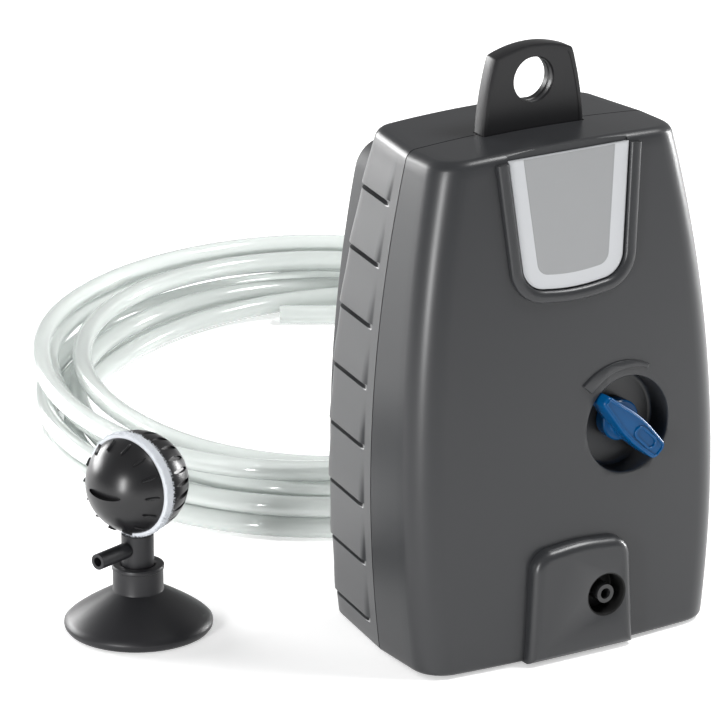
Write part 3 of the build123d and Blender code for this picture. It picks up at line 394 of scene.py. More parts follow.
def inset_loop(outline, inset):
    """Closed outline drawn in by a distance along its own corners."""
    count = len(outline)
    result = []
    for k in range(count):
        before, here, after = outline[k - 1], outline[k], outline[(k + 1) % count]
        ax, ay = here[0] - before[0], here[1] - before[1]
        bx, by = after[0] - here[0], after[1] - here[1]
        al, bl = hypot(ax, ay), hypot(bx, by)
        nx, ny = -(ay / al + by / bl), ax / al + bx / bl
        length = hypot(nx, ny)
        nx, ny = nx / length, ny / length
        slant = max(nx * -ay / al + ny * ax / al, 0.35)
        result.append((here[0] + nx * inset / slant, here[1] + ny * inset / slant))
    return result


def layered_piece(name, outline, layers, place, material, sharp=SHARP_ANGLE):
    """Closed solid from one outline, drawn in and raised layer by layer, with a cap at each end."""
    points = []
    faces = []
    rings = []
    for inset, rise in layers:
        loop = inset_loop(outline, inset) if inset else outline
        rings.append([len(points) + k for k in range(len(loop))])
        points += [place(u, v, rise) for u, v in loop]
    for low, high in zip(rings, rings[1:]):
        for k in range(len(low)):
            n = (k + 1) % len(low)
            faces.append((low[k], low[n], high[n], high[k]))
    faces.append(tuple(reversed(rings[0])))
    faces.append(tuple(rings[-1]))
    return make_piece(name, points, faces, material, sharp)


def rim_line(name, outline, width, low, high, place, material):
    """Raised line of even width just inside a closed outline."""
    sections = [(0.0, low), (0.0, high - 0.1), (0.08, high), (width - 0.08, high), (width, high - 0.1)]
    sections.append((width, low))
    points = []
    faces = []
    rings = []
    for inset, rise in sections:
        rings.append([len(points) + k for k in range(len(outline))])
        points += [place(u, v, rise) for u, v in inset_loop(outline, inset)]
    for low_ring, high_ring in zip(rings, rings[1:] + rings[:1]):
        for k in range(len(outline)):
            n = (k + 1) % len(outline)
            faces.append((low_ring[k], low_ring[n], high_ring[n], high_ring[k]))
    return make_piece(name, points, faces, material)


def rounded_polygon(corners, steps=8):
    """Outline from (x, y, radius) corners in order, with each corner rounded."""
    outline = []
    count = len(corners)
    for k in range(count):
        x, y, radius = corners[k]
        before, after = corners[k - 1], corners[(k + 1) % count]
        if radius == 0:
            outline.append((x, y))
            continue
        ax, ay = before[0] - x, before[1] - y
        bx, by = after[0] - x, after[1] - y
        al, bl = hypot(ax, ay), hypot(bx, by)
        ax, ay, bx, by = ax / al, ay / al, bx / bl, by / bl
        half_angle = acos(ax * bx + ay * by) / 2
        reach = radius / tan(half_angle)
        cx = x + (ax + bx) / hypot(ax + bx, ay + by) * radius / sin(half_angle)
        cy = y + (ay + by) / hypot(ax + bx, ay + by) * radius / sin(half_angle)
        start = atan2(y + ay * reach - cy, x + ax * reach - cx)
        end = atan2(y + by * reach - cy, x + bx * reach - cx)
        turn = (end - start + pi) % (2 * pi) - pi
        for s in range(steps + 1):
            a = start + turn * s / steps
            outline.append((cx + radius * cos(a), cy + radius * sin(a)))
    return outline


def rounded_layers(low, high, edge, steps=4):
    """Layers of a straight wall that ends in a rounded edge."""
    layers = [(0.0, low)]
    for s in range(steps + 1):
        a = pi / 2 * s / steps
        layers.append((edge * (1 - cos(a)), high - edge + edge * sin(a)))
    return layers + [(edge + 0.25, high)]


def turned_piece(name, profile, centre, axis, material, steps=72, sharp=SHARP_ANGLE):
    """Closed turned piece from a (radius, distance) profile about an axis through a centre."""
    axis = Vector(axis).normalized()
    side = axis.orthogonal().normalized()
    other = axis.cross(side)
    centre = Vector(centre)
    points = []
    rings = []
    faces = []
    for radius, distance in profile:
        if radius < 1e-6:
            rings.append([len(points)])
            points.append(tuple(centre + axis * distance))
            continue
        rings.append([len(points) + k for k in range(steps)])
        for k in range(steps):
            a = 2 * pi * k / steps
            around = side * (radius * cos(a)) + other * (radius * sin(a))
            points.append(tuple(centre + axis * distance + around))
    for low, high in zip(rings, rings[1:]):
        for k in range(steps):
            n = (k + 1) % steps
            face = [low[k % len(low)], low[n % len(low)], high[n % len(high)], high[k % len(high)]]
            faces.append(tuple(dict.fromkeys(face)))
    return make_piece(name, points, faces, material, sharp)


def combine(piece, tools, operation):
    """Adds the tools to a piece, or cuts them out of it, and removes the tools."""
    for tool in tools:
        change = piece.modifiers.new("combine", "BOOLEAN")
        change.operation = operation
        change.solver = "MANIFOLD"
        change.material_mode = "TRANSFER"
        change.object = tool
    bpy.context.view_layer.update()
    seen = piece.evaluated_get(bpy.context.evaluated_depsgraph_get())
    mesh = bpy.data.meshes.new_from_object(seen)
    piece.modifiers.clear()
    old = piece.data
    piece.data = mesh
    mesh.name = piece.name
    bpy.data.meshes.remove(old)
    for tool in tools:
        bpy.data.objects.remove(tool)
    mesh.shade_smooth()
    mesh.set_sharp_from_angle(angle=radians(SHARP_ANGLE))


def moulded_plastic(name, colour, roughness, grain, grain_depth, specular=0.5):
    """Moulded plastic with a fine spark-eroded grain and slightly uneven gloss."""
    material, shader = new_finish(name, colour)
    tree = material.node_tree
    place = tree.nodes.new("ShaderNodeTexCoord")
    fine = tree.nodes.new("ShaderNodeTexNoise")
    fine.inputs["Scale"].default_value = grain
    fine.inputs["Detail"].default_value = 3.0
    broad = tree.nodes.new("ShaderNodeTexNoise")
    broad.inputs["Scale"].default_value = 22.0
    broad.inputs["Detail"].default_value = 3.0
    uneven = tree.nodes.new("ShaderNodeMapRange")
    uneven.inputs["To Min"].default_value = roughness - 0.04
    uneven.inputs["To Max"].default_value = roughness + 0.04
    bump = tree.nodes.new("ShaderNodeBump")
    bump.inputs["Strength"].default_value = 0.35
    bump.inputs["Distance"].default_value = grain_depth * MM
    tree.links.new(place.outputs["Object"], fine.inputs["Vector"])
    tree.links.new(place.outputs["Object"], broad.inputs["Vector"])
    tree.links.new(broad.outputs["Fac"], uneven.inputs["Value"])
    tree.links.new(uneven.outputs["Result"], shader.inputs["Roughness"])
    tree.links.new(fine.outputs["Fac"], bump.inputs["Height"])
    tree.links.new(bump.outputs["Normal"], shader.inputs["Normal"])
    shader.inputs["Specular IOR Level"].default_value = specular
    return material


grey_abs = moulded_plastic("grey_abs", (0.022, 0.023, 0.025), 0.33, 2400.0, 0.02, 0.42)

front_shell = mirrored_shell("front_shell_skin", front_half_outline, shell_levels(), grey_abs)

# the foot panel stands out from the shell, with a softened rim
panel_corners = [(-16.7, FOOT_STAND, 0.0), (16.7, FOOT_STAND, 0.0)]
panel_corners += [(15.0, 31.7, 6.0), (0.0, 33.2, 50.0), (-15.0, 31.7, 6.0)]
foot_panel = layered_piece(
    "foot_panel",
    rounded_polygon(panel_corners, 14),
    rounded_layers(15.0, 30.4, 2.7, 8),
    lambda u, v, rise: (u, -rise, v),
    grey_abs,
)

PLATE_HIGH = 18.2
PLATE_Z = PUMP_HEIGHT - PLATE_HIGH - 0.6
PLATE_LEAN = atan2(PLATE_Z, FRONT_RADIUS)


def on_plate(u, v, rise):
    """Point in the plane of the nameplate, raised from it."""
    return (
        u,
        -front_reach(PLATE_Z) + v * sin(PLATE_LEAN) - rise * cos(PLATE_LEAN),
        PLATE_Z + v * cos(PLATE_LEAN) + rise * sin(PLATE_LEAN),
    )


def shield_path(grow, top):
    """Open outline of the nameplate from its top left, round the bottom, to its top right."""
    low, high = 15.2 + grow, 18.8 + grow
    foot = -PLATE_HIGH - grow
    bow = [(x, foot + 0.5 * (x / 7.6) ** 2, 0.0) for x in np.linspace(-7.6, 7.6, 15)]
    side_foot = foot + 0.5 + 0.13 * (low - 7.6)
    corners = [(-high, top, 0.0), (-low, side_foot, 7.0 + grow)]
    return rounded_polygon(corners + bow + [(low, side_foot, 7.0 + grow), (high, top, 0.0)], 14)


def swept_bead(name, path, profile, place, material):
    """Closed bar of constant section along an open path in a plane."""
    points = []
    faces = []
    rings = []
    for k, (x, z) in enumerate(path):
        before = path[max(k - 1, 0)]
        after = path[min(k + 1, len(path) - 1)]
        tx, tz = after[0] - before[0], after[1] - before[1]
        length = hypot(tx, tz)
        nx, nz = tz / length, -tx / length
        rings.append([len(points) + j for j in range(len(profile))])
        points += [place(x + nx * across, z + nz * across, rise) for across, rise in profile]
    for low, high in zip(rings, rings[1:]):
        for j in range(len(profile)):
            n = (j + 1) % len(profile)
            faces.append((low[j], low[n], high[n], high[j]))
    faces.append(tuple(rings[0]))
    faces.append(tuple(reversed(rings[-1])))
    return make_piece(name, points, faces, material)


BEAD_HALF = 1.7
BEAD_ROOT = -1.6
bead_profile = [(-BEAD_HALF, BEAD_ROOT)]
for k in range(13):
    a = pi - pi * k / 12
    bead_profile.append((BEAD_HALF * cos(a), 1.25 * sin(a) ** 0.85 if 0 < k < 12 else -0.05))
bead_profile.append((BEAD_HALF, BEAD_ROOT))
bead_path = shield_path(BEAD_HALF + 0.3, PLATE_HIGH - 0.55)
surround = swept_bead("surround", bead_path, bead_profile, on_plate, grey_abs)

plate_pocket = layered_piece(
    "plate_pocket",
    shield_path(0.35, PLATE_HIGH + 6.0),
    [(0.0, -1.25), (0.0, 4.0)],
    on_plate,
    None,
)

KNOB_X = 16.5
KNOB_Z = 62.0
DISH_RADIUS = 13.2
DISH_DEPTH = 8.0
FACE_RADIUS = 490.0
face_normal = (KNOB_X / FACE_RADIUS, -1.0, KNOB_Z / FRONT_RADIUS)
dish_cut = turned_piece(
    "dish_cut",
    [
        (0.0, -DISH_DEPTH),
        (DISH_RADIUS - 1.2, -DISH_DEPTH),
        (DISH_RADIUS - 0.5, -DISH_DEPTH + 0.2),
        (DISH_RADIUS - 0.1, -DISH_DEPTH + 0.6),
        (DISH_RADIUS, -DISH_DEPTH + 1.2),
        (DISH_RADIUS, -0.75),
        (DISH_RADIUS + 0.1, -0.42),
        (DISH_RADIUS + 0.3, -0.18),
        (DISH_RADIUS + 0.6, -0.03),
        (DISH_RADIUS + 0.9, 0.0),
        (DISH_RADIUS + 1.0, 0.3),
        (DISH_RADIUS + 1.0, 6.0),
        (0.0, 6.0),
    ],
    on_front(KNOB_X, KNOB_Z, 0.0),
    face_normal,
    None,
    96,
)

# Near-black finish that the outlet cutter leaves on the walls and floor of the outlet recess: painted shade,
# since the recess is the same grey plastic lying in deep shadow.
recess_black = moulded_plastic("recess_black", (0.006, 0.006, 0.006), 0.5, 1800.0, 0.02, 0.2)
OUTLET_X = 7.1
OUTLET_Z = 16.8
outlet_cut = turned_piece(
    "outlet_cut",
    [
        (0.0, 23.9),
        (5.1, 23.9),
        (5.5, 24.2),
        (5.6, 24.6),
        (5.6, 29.9),
        (5.75, 30.2),
        (6.1, 30.4),
        (6.2, 34.0),
        (0.0, 34.0),
    ],
    (OUTLET_X, 0.0, OUTLET_Z),
    (0, -1, 0),
    recess_black,
    72,
)


SCALE_RADIUS = 15.8
SCALE_WIDE, SCALE_THIN = 3.7, 1.2
SCALE_START, SCALE_END = 138.0, 66.0


def crescent_outline():
    """Flow scale: an arc over the dish that thins out towards its right end."""
    steps = 40
    outer = []
    inner = []
    for k in range(steps + 1):
        share = k / steps
        a = radians(SCALE_START + (SCALE_END - SCALE_START) * share)
        reach = SCALE_RADIUS + SCALE_WIDE + (SCALE_THIN - SCALE_WIDE) * share
        outer.append((reach * cos(a), reach * sin(a)))
        inner.append((SCALE_RADIUS * cos(a), SCALE_RADIUS * sin(a)))
    return [(x + KNOB_X, z + KNOB_Z) for x, z in inner + outer[::-1]]


scale_mark = layered_piece(
    "scale_mark",
    crescent_outline(),
    [(0.0, -1.0), (0.0, 0.45), (0.08, 0.62), (0.25, 0.7)],
    on_front,
    grey_abs,
    50.0,
)

HOLLOW_PAST_SEAM = 3.0
hollow_levels = [FOOT_STAND + WALL, *np.linspace(8.0, 132.0, 24), PUMP_HEIGHT - WALL - TOP_CROWN]


def front_hollow_outline(z, _):
    """Half outline of the front hollow, one wall inside the shell and carried past the seam."""
    outline = front_half_outline(z, WALL)
    return [(outline[0][0], HOLLOW_PAST_SEAM)] + [(x, min(y, HOLLOW_PAST_SEAM)) for x, y in outline[1:]]


hollow = mirrored_shell("hollow", front_hollow_outline, hollow_levels, None)


def front_disc(name, x, z, radius, start, end):
    """Round disc or cutter square to the seam, between two distances in front of it."""
    profile = [(0.0, start), (radius, start), (radius, end), (0.0, end)]
    return turned_piece(name, profile, (x, 0.0, z), (0, -1, 0), None)


dish_back = front_disc("dish_back", KNOB_X, KNOB_Z, DISH_RADIUS + 2.0, 15.6, 24.4)
outlet_back = front_disc("outlet_back", OUTLET_X, OUTLET_Z, 8.1, 21.4, 27.0)
spindle_hole = front_disc("spindle_hole", KNOB_X, KNOB_Z, 2.55, 10.0, 22.0)
nozzle_hole = front_disc("nozzle_hole", OUTLET_X, OUTLET_Z, 2.25, 19.0, 26.0)
TAB_FRONT = 3.0
TAB_BACK = 2.0
TAB_HALF = 15.6
slot_outline = rounded_polygon(
    [
        (-TAB_HALF - 0.3, -TAB_FRONT - 0.3, 0.4),
        (TAB_HALF + 0.3, -TAB_FRONT - 0.3, 0.4),
        (TAB_HALF + 0.3, TAB_BACK + 0.3, 0.4),
        (-TAB_HALF - 0.3, TAB_BACK + 0.3, 0.4),
    ],
    3,
)


def tab_slot():
    """Cutter for the slot of the hanging tab, across the seam."""
    return layered_piece(
        "tab_slot", slot_outline, [(0.0, 130.0), (0.0, 150.0)], lambda u, v, rise: (u, v, rise), None
    )


combine(front_shell, [foot_panel], "UNION")
combine(front_shell, [hollow], "DIFFERENCE")
combine(front_shell, [surround, scale_mark, dish_back, outlet_back], "UNION")
combine(
    front_shell,
    [plate_pocket, dish_cut, outlet_cut, spindle_hole, nozzle_hole, tab_slot()],
    "DIFFERENCE",
)
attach(front_shell, "pump")
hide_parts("front_shell")

# ---------------------------------------------------------------- rear shell
# Rear half of the housing in the same grey ABS, with eight grooves down each side.
# Each groove lies under the thick lower edge of a shallow wedge, and stops short of the seam.

REAR_DEPTH = 33.0
REAR_TAPER = 0.155
REAR_CORNER = 6.0
BACK_CROWN = 0.5
GROOVE_PITCH = 16.65
GROOVE_FIRST = 8.0
GROOVE_COUNT = 8
PANEL_START = 4.2
WEDGE_RISE = 0.55
GROOVE_DEPTH = 1.3


def rear_reach(z):
    """How far the rear shell reaches back."""
    return REAR_DEPTH - max(z - 30.0, 0.0) ** 2 / (2 * 756.0)


def smooth_step(low, high, value):
    """Smooth rise from 0 at low to 1 at high."""
    share = min(max((value - low) / (high - low), 0.0), 1.0)
    return share * share * (3 - 2 * share)


def side_relief(z, along):
    """Height of the wedges and depth of the grooves on the side, away from the seam."""
    row = min(max(int((z - GROOVE_FIRST + 1.0) // GROOVE_PITCH), 0), GROOVE_COUNT - 1)
    above = z - (GROOVE_FIRST + row * GROOVE_PITCH)
    if above < -1.0:
        return 0.0
    wedge = WEDGE_RISE * (1.0 - smooth_step(0.0, 12.6, above)) if above > 0.85 else 0.0
    if z > GROOVE_FIRST + (GROOVE_COUNT - 1) * GROOVE_PITCH + 12.0:
        wedge = 0.0
    shape = 1.0 - smooth_step(0.45, 0.85, abs(above))
    groove = GROOVE_DEPTH * shape * smooth_step(PANEL_START, PANEL_START + 5.0, along)
    return wedge * smooth_step(PANEL_START, PANEL_START + 2.0, along) - groove


def rear_half_outline(z, inset):
    """Right half of a rear outline, from the seam round the corner to the middle."""
    half = half_width(z) - inset
    depth = rear_reach(z) - BACK_CROWN - inset
    taper = atan2(REAR_TAPER, 1.0)
    corner = REAR_CORNER - min(inset, 3.0)
    reach = corner * tan((pi / 2 - taper) / 2)
    side_length = (depth - SEAM_GAP) / cos(taper) - reach
    out_x, out_y = cos(taper), sin(taper)
    stops = [0.0, 2.0, 3.6, 4.2, 4.45, 4.7, 5.2, 6.2, 7.7, 9.2]
    stops += list(np.linspace(9.2, side_length, 10)[1:])
    points = []
    for along in stops:
        rise = side_relief(z, along) if inset < 0.5 else 0.0
        x = half - REAR_TAPER * SEAM_GAP - along * sin(taper)
        points.append((x + rise * out_x, SEAM_GAP + along * cos(taper) + rise * out_y))
    end_x = half - REAR_TAPER * SEAM_GAP - side_length * sin(taper)
    end_y = SEAM_GAP + side_length * cos(taper)
    centre_x, centre_y = end_x - corner * out_x, end_y - corner * out_y
    for k in range(1, 13):
        share = k / 12
        a = taper + (pi / 2 - taper) * share
        fade = 1.0 - smooth_step(0.0, 0.8, share)
        rise = side_relief(z, side_length) * fade if inset < 0.5 else 0.0
        radius = corner + rise
        points.append((centre_x + radius * cos(a), centre_y + radius * sin(a)))
    last_x, last_y = points[-1]
    for k in range(1, 8):
        share = 1 - k / 7
        points.append((last_x * share, last_y + BACK_CROWN * (1 - share * share)))
    return points


groove_steps = [-1.3, -0.86, -0.75, -0.65, -0.55, -0.44, 0.44, 0.55, 0.65, 0.75, 0.84, 0.87, 1.3, 1.8]
rear_levels = set(shell_levels())
for row in range(GROOVE_COUNT):
    groove_z = GROOVE_FIRST + row * GROOVE_PITCH
    rear_levels = {z for z in rear_levels if not groove_z - 1.6 < z < groove_z + 2.0}
    rear_levels |= {groove_z + step for step in groove_steps}
rear_shell = mirrored_shell("rear_shell_skin", rear_half_outline, sorted(rear_levels), grey_abs)


def rear_hollow_outline(z, _):
    """Half outline of the rear hollow, one wall inside the shell and carried past the seam."""
    outline = rear_half_outline(z, WALL)
    return [(outline[0][0], -HOLLOW_PAST_SEAM)] + [(x, max(y, -HOLLOW_PAST_SEAM)) for x, y in outline[1:]]


rear_hollow = mirrored_shell("rear_hollow", rear_hollow_outline, hollow_levels, None)


def bore_along_y(name, x, z, radius, start, end):
    """Round cutter along Y between two distances behind the seam."""
    profile = [(0.0, start), (radius, start), (radius, end), (0.0, end)]
    return turned_piece(name, profile, (x, 0.0, z), (0, 1, 0), None, 48)


screw_places = [(-33.0, 10.0), (33.0, 10.0), (-25.0, 121.8), (25.0, 121.8)]
SCREW_SINK = 4.0
screw_posts = []
screw_bores = []
for number, (x, z) in enumerate(screw_places):
    head_y = rear_reach(z) - SCREW_SINK
    screw_posts.append(bore_along_y(f"post_{number}", x, z, 4.5, 1.0, rear_reach(z) - 1.2))
    screw_bores.append(bore_along_y(f"bore_{number}", x, z, 3.0, head_y, head_y + 12.0))
combine(rear_shell, [rear_hollow], "DIFFERENCE")
combine(rear_shell, screw_posts, "UNION")
gland_bore = bore_along_y("gland_bore", 0.0, 12.0, 5.1, 24.0, 45.0)
intake_bore = bore_along_y("intake_bore", 0.0, 99.8, 3.0, 20.0, 45.0)
combine(rear_shell, [*screw_bores, gland_bore, intake_bore, tab_slot()], "DIFFERENCE")
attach(rear_shell, "pump")
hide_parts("rear_shell")

# ---------------------------------------------------------------- back cover
# Separate moulded cover over the intake filter in a darker, matter grey.
# It clips on to the back of the rear shell, and air comes in by five slots near its foot.

COVER_INSET = 8.4
COVER_LOW = 22.0
COVER_HIGH = 132.8
COVER_BACK = 36.0

dark_cover = moulded_plastic("dark_cover", (0.035, 0.036, 0.038), 0.55, 2100.0, 0.04, 0.35)
cover_side = [(half_width(z) - COVER_INSET, z, 0.0) for z in np.linspace(COVER_LOW + 6, COVER_HIGH - 11, 20)]
cover_corners = [
    (-(half_width(COVER_LOW) - COVER_INSET), COVER_LOW, 4.5),
    (half_width(COVER_LOW) - COVER_INSET, COVER_LOW, 4.5),
    *cover_side,
    (half_width(COVER_HIGH) - COVER_INSET, COVER_HIGH, 9.0),
    (-(half_width(COVER_HIGH) - COVER_INSET), COVER_HIGH, 9.0),
    *[(-x, z, r) for x, z, r in reversed(cover_side)],
]
back_cover = layered_piece(
    "back_cover_skin",
    rounded_polygon(cover_corners, 10),
    rounded_layers(24.0, COVER_BACK, 1.3, 5),
    lambda u, v, rise: (u, rise, v),
    dark_cover,
)


def rear_body_outline(z, _):
    """Half outline of the rear shell's body, without its grooves, that the cover sits on."""
    outline = rear_half_outline(z, 0.6)
    return [(outline[0][0], outline[0][1] - 2.0)] + outline[1:]


rear_body = mirrored_shell("rear_body", rear_body_outline, [-4.0, *np.linspace(1.0, 139.0, 30), 144.0], None)
combine(back_cover, [rear_body], "DIFFERENCE")


def copies(name, shape, places, material):
    """Copies of a small shape at places in millimetres with turns, made by a tree of geometry nodes."""
    holder_mesh = bpy.data.meshes.new(name)
    holder_mesh.from_pydata([tuple(c * MM for c in place) for place, turn in places], [], [])
    turns = holder_mesh.attributes.new("turn", "FLOAT_VECTOR", "POINT")
    for stored, (place, turn) in zip(turns.data, places):
        stored.vector = turn
    holder = bpy.data.objects.new(name, holder_mesh)
    scene.collection.objects.link(holder)
    tree = bpy.data.node_groups.new(name + "_tree", "GeometryNodeTree")
    tree.interface.new_socket("Places", in_out="INPUT", socket_type="NodeSocketGeometry")
    shape_input = tree.interface.new_socket("Shape", in_out="INPUT", socket_type="NodeSocketObject")
    finish_input = tree.interface.new_socket("Finish", in_out="INPUT", socket_type="NodeSocketMaterial")
    tree.interface.new_socket("Result", in_out="OUTPUT", socket_type="NodeSocketGeometry")
    entry = tree.nodes.new("NodeGroupInput")
    leave = tree.nodes.new("NodeGroupOutput")
    shape_info = tree.nodes.new("GeometryNodeObjectInfo")
    stored_turn = tree.nodes.new("GeometryNodeInputNamedAttribute")
    stored_turn.data_type = "FLOAT_VECTOR"
    stored_turn.inputs["Name"].default_value = "turn"
    as_rotation = tree.nodes.new("FunctionNodeEulerToRotation")
    place_copies = tree.nodes.new("GeometryNodeInstanceOnPoints")
    realize = tree.nodes.new("GeometryNodeRealizeInstances")
    finish = tree.nodes.new("GeometryNodeSetMaterial")
    tree.links.new(entry.outputs["Places"], place_copies.inputs["Points"])
    tree.links.new(entry.outputs["Shape"], shape_info.inputs["Object"])
    tree.links.new(shape_info.outputs["Geometry"], place_copies.inputs["Instance"])
    tree.links.new(stored_turn.outputs["Attribute"], as_rotation.inputs["Euler"])
    tree.links.new(as_rotation.outputs["Rotation"], place_copies.inputs["Rotation"])
    tree.links.new(place_copies.outputs["Instances"], realize.inputs["Geometry"])
    tree.links.new(realize.outputs["Geometry"], finish.inputs["Geometry"])
    tree.links.new(entry.outputs["Finish"], finish.inputs["Material"])
    tree.links.new(finish.outputs["Geometry"], leave.inputs["Result"])
    spread = holder.modifiers.new("copies", "NODES")
    spread.node_group = tree
    spread[shape_input.identifier] = shape
    spread[finish_input.identifier] = material
    bpy.context.view_layer.update()
    seen = holder.evaluated_get(bpy.context.evaluated_depsgraph_get())
    mesh = bpy.data.meshes.new_from_object(seen)
    bpy.data.objects.remove(holder)
    bpy.data.objects.remove(shape)
    mesh.name = name
    piece = bpy.data.objects.new(name, mesh)
    scene.collection.objects.link(piece)
    mesh.shade_smooth()
    mesh.set_sharp_from_angle(angle=radians(SHARP_ANGLE))
    return piece


def rounded_bar(name, length, width, low, high, edge, material, place):
    """Bar with round ends, raised between two levels, with a rounded edge."""
    outline = rounded_polygon(
        [
            (-length / 2, -width / 2, width * 0.499),
            (length / 2, -width / 2, width * 0.499),
            (length / 2, width / 2, width * 0.499),
            (-length / 2, width / 2, width * 0.499),
        ],
        8,
    )
    return layered_piece(name, outline, rounded_layers(low, high, edge, 3), place, material)


intake_bar = rounded_bar("intake_bar", 26.0, 1.6, -2.6, 6.0, 0.1, None, lambda u, v, rise: (u, rise, v))
INTAKE_Z = COVER_LOW + 22.0
INTAKE_PITCH = 4.5
intake_places = [((0.0, COVER_BACK, INTAKE_Z + INTAKE_PITCH * row), (0.0, 0.0, 0.0)) for row in range(-2, 3)]
intake_slots = copies("intake_slots", intake_bar, intake_places, dark_cover)
combine(back_cover, [intake_slots], "DIFFERENCE")
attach(back_cover, "pump")
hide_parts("back_cover")

# ---------------------------------------------------------------- nameplate
# Stamped aluminium plate, brushed across and lacquered, with a greyer printed field in its middle.
# It is glued into the pocket inside the raised surround, and carries no lettering.


def brushed_plate(name, colour, roughness, metallic):
    """Lacquered aluminium with fine brushing across the plate."""
    material, shader = new_finish(name, colour)
    tree = material.node_tree
    place = tree.nodes.new("ShaderNodeTexCoord")
    stretch = tree.nodes.new("ShaderNodeMapping")
    stretch.inputs["Scale"].default_value = (60.0, 60.0, 2600.0)
    strokes = tree.nodes.new("ShaderNodeTexNoise")
    strokes.inputs["Scale"].default_value = 1.0
    strokes.inputs["Detail"].default_value = 4.0
    uneven = tree.nodes.new("ShaderNodeMapRange")
    uneven.inputs["To Min"].default_value = roughness - 0.06
    uneven.inputs["To Max"].default_value = roughness + 0.06
    bump = tree.nodes.new("ShaderNodeBump")
    bump.inputs["Strength"].default_value = 0.12
    bump.inputs["Distance"].default_value = 0.01 * MM
    tree.links.new(place.outputs["Object"], stretch.inputs["Vector"])
    tree.links.new(stretch.outputs["Vector"], strokes.inputs["Vector"])
    tree.links.new(strokes.outputs["Fac"], uneven.inputs["Value"])
    tree.links.new(uneven.outputs["Result"], shader.inputs["Roughness"])
    tree.links.new(strokes.outputs["Fac"], bump.inputs["Height"])
    tree.links.new(bump.outputs["Normal"], shader.inputs["Normal"])
    shader.inputs["Metallic"].default_value = metallic
    return material


silver_border = brushed_plate("silver_border", (0.46, 0.47, 0.485), 0.38, 0.35)
grey_field = brushed_plate("grey_field", (0.27, 0.275, 0.28), 0.42, 0.35)


def field_outline():
    """Outline of the printed field, inside the border and open to the top."""
    foot = -PLATE_HIGH + 3.9
    low, high = 10.9, 14.3
    top = PLATE_HIGH - 0.2
    corners = [(low, foot + 0.9, 3.6), (high, top, 0.0), (-high, top, 0.0), (-low, foot + 0.9, 3.6)]
    bow = [(x, foot - 0.45 * (1 - (x / 7.0) ** 2) + 0.45, 0.0) for x in np.linspace(-6.5, 6.5, 14)]
    return rounded_polygon(corners + bow, 10)


nameplate = layered_piece(
    "nameplate_blank",
    shield_path(0.0, PLATE_HIGH),
    [(0.0, -1.2), (0.0, -0.3), (0.08, -0.12), (0.3, -0.05), (0.55, -0.05)],
    on_plate,
    silver_border,
)
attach(nameplate, "pump")
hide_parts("nameplate")
printed_field = layered_piece(
    "nameplate_field",
    field_outline(),
    [(0.0, -0.4), (0.0, -0.02), (0.05, 0.0), (0.3, 0.0)],
    on_plate,
    grey_field,
)
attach(printed_field, "pump")

# ---------------------------------------------------------------- hanging tab
# Flat black nylon tab with a round hole, which slides up out of a slot across the seam.
# Its faces are drawn in a little inside a fine raised rim, and the hole has a stepped bore.

TAB_RISE = 21.9
TAB_ARCH = 2.4
TAB_TOP_HALF = 11.9
TAB_THICK = TAB_BACK + TAB_FRONT
FACE_SINK = 0.15
HOLE_Z = PUMP_HEIGHT + 14.6
black_nylon = moulded_plastic("black_nylon", (0.010, 0.010, 0.011), 0.36, 1800.0, 0.03, 0.35)


def tab_outline(shrink):
    """Front view of the tab: straight in its slot, bowed sides above it and an arched top."""
    top = PUMP_HEIGHT + TAB_RISE - shrink
    low = PUMP_HEIGHT - 13.0 + shrink
    side = []
    for k in range(12):
        share = k / 12
        side.append((TAB_HALF - shrink - 3.6 * share**1.7, PUMP_HEIGHT + (TAB_RISE - shrink) * share, 0.0))
    arch = []
    for k in range(1, 12):
        x = TAB_TOP_HALF * (1 - k / 6)
        arch.append((x, top + TAB_ARCH * (1 - (x / TAB_TOP_HALF) ** 2), 0.0))
    corners = [(TAB_HALF - shrink, low, 0.8), *side, (TAB_TOP_HALF - shrink, top, 1.2), *arch]
    corners += [(-TAB_TOP_HALF + shrink, top, 1.2)]
    corners += [(-x, z, 0.0) for x, z, _ in reversed(side)] + [(-TAB_HALF + shrink, low, 0.8)]
    return rounded_polygon(corners, 6)


tab_layers = [(0.35, 0.0), (0.1, 0.1), (0.0, 0.35), (0.0, 4.65), (0.1, 4.9), (0.35, 5.0)]
hanging_tab = layered_piece(
    "hanging_tab_blank",
    tab_outline(0.0),
    tab_layers,
    lambda u, v, rise: (u, TAB_BACK - rise, v),
    black_nylon,
)
tab_hole = turned_piece(
    "tab_hole",
    [(0.0, -4.0), (6.6, -4.0), (6.3, -1.8), (6.0, -1.5), (6.0, 0.2), (6.25, 0.45), (6.25, 0.95)]
    + [(6.0, 1.2), (6.0, 2.3), (6.3, 2.7), (6.6, 5.0), (0.0, 5.0)],
    (0.0, 0.0, HOLE_Z),
    (0, -1, 0),
    None,
    72,
)


def tab_face_panel(name, side):
    """Thin cutter that leaves a rim round the face of the tab."""
    return layered_piece(
        name,
        tab_outline(1.1),
        [(0.0, 0.0), (0.0, 2.0)],
        lambda u, v, rise: (u, side * (TAB_THICK / 2 - FACE_SINK + rise) + (TAB_BACK - TAB_FRONT) / 2, v),
        None,
    )


combine(
    hanging_tab,
    [tab_face_panel("panel_front", -1), tab_face_panel("panel_back", 1), tab_hole],
    "DIFFERENCE",
)
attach(hanging_tab, "tab")
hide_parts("hanging_tab")

# ---------------------------------------------------------------- control knob
# Blue moulded lever on a round hub, pushed on the spindle of the flow valve in its dish.
# The narrow end points at the scale, and the wide end carries a raised oblong for the thumb.

LEVER_ANGLE = radians(-45.0)
LEVER_FRONT = front_reach(KNOB_Z) + 2.6
LEVER_BACK = front_reach(KNOB_Z) - 5.2
LEVER_REACH = DISH_RADIUS - 0.5

blue_knob = moulded_plastic("blue_knob", (0.0, 0.055, 0.165), 0.24, 1500.0, 0.01, 0.2)


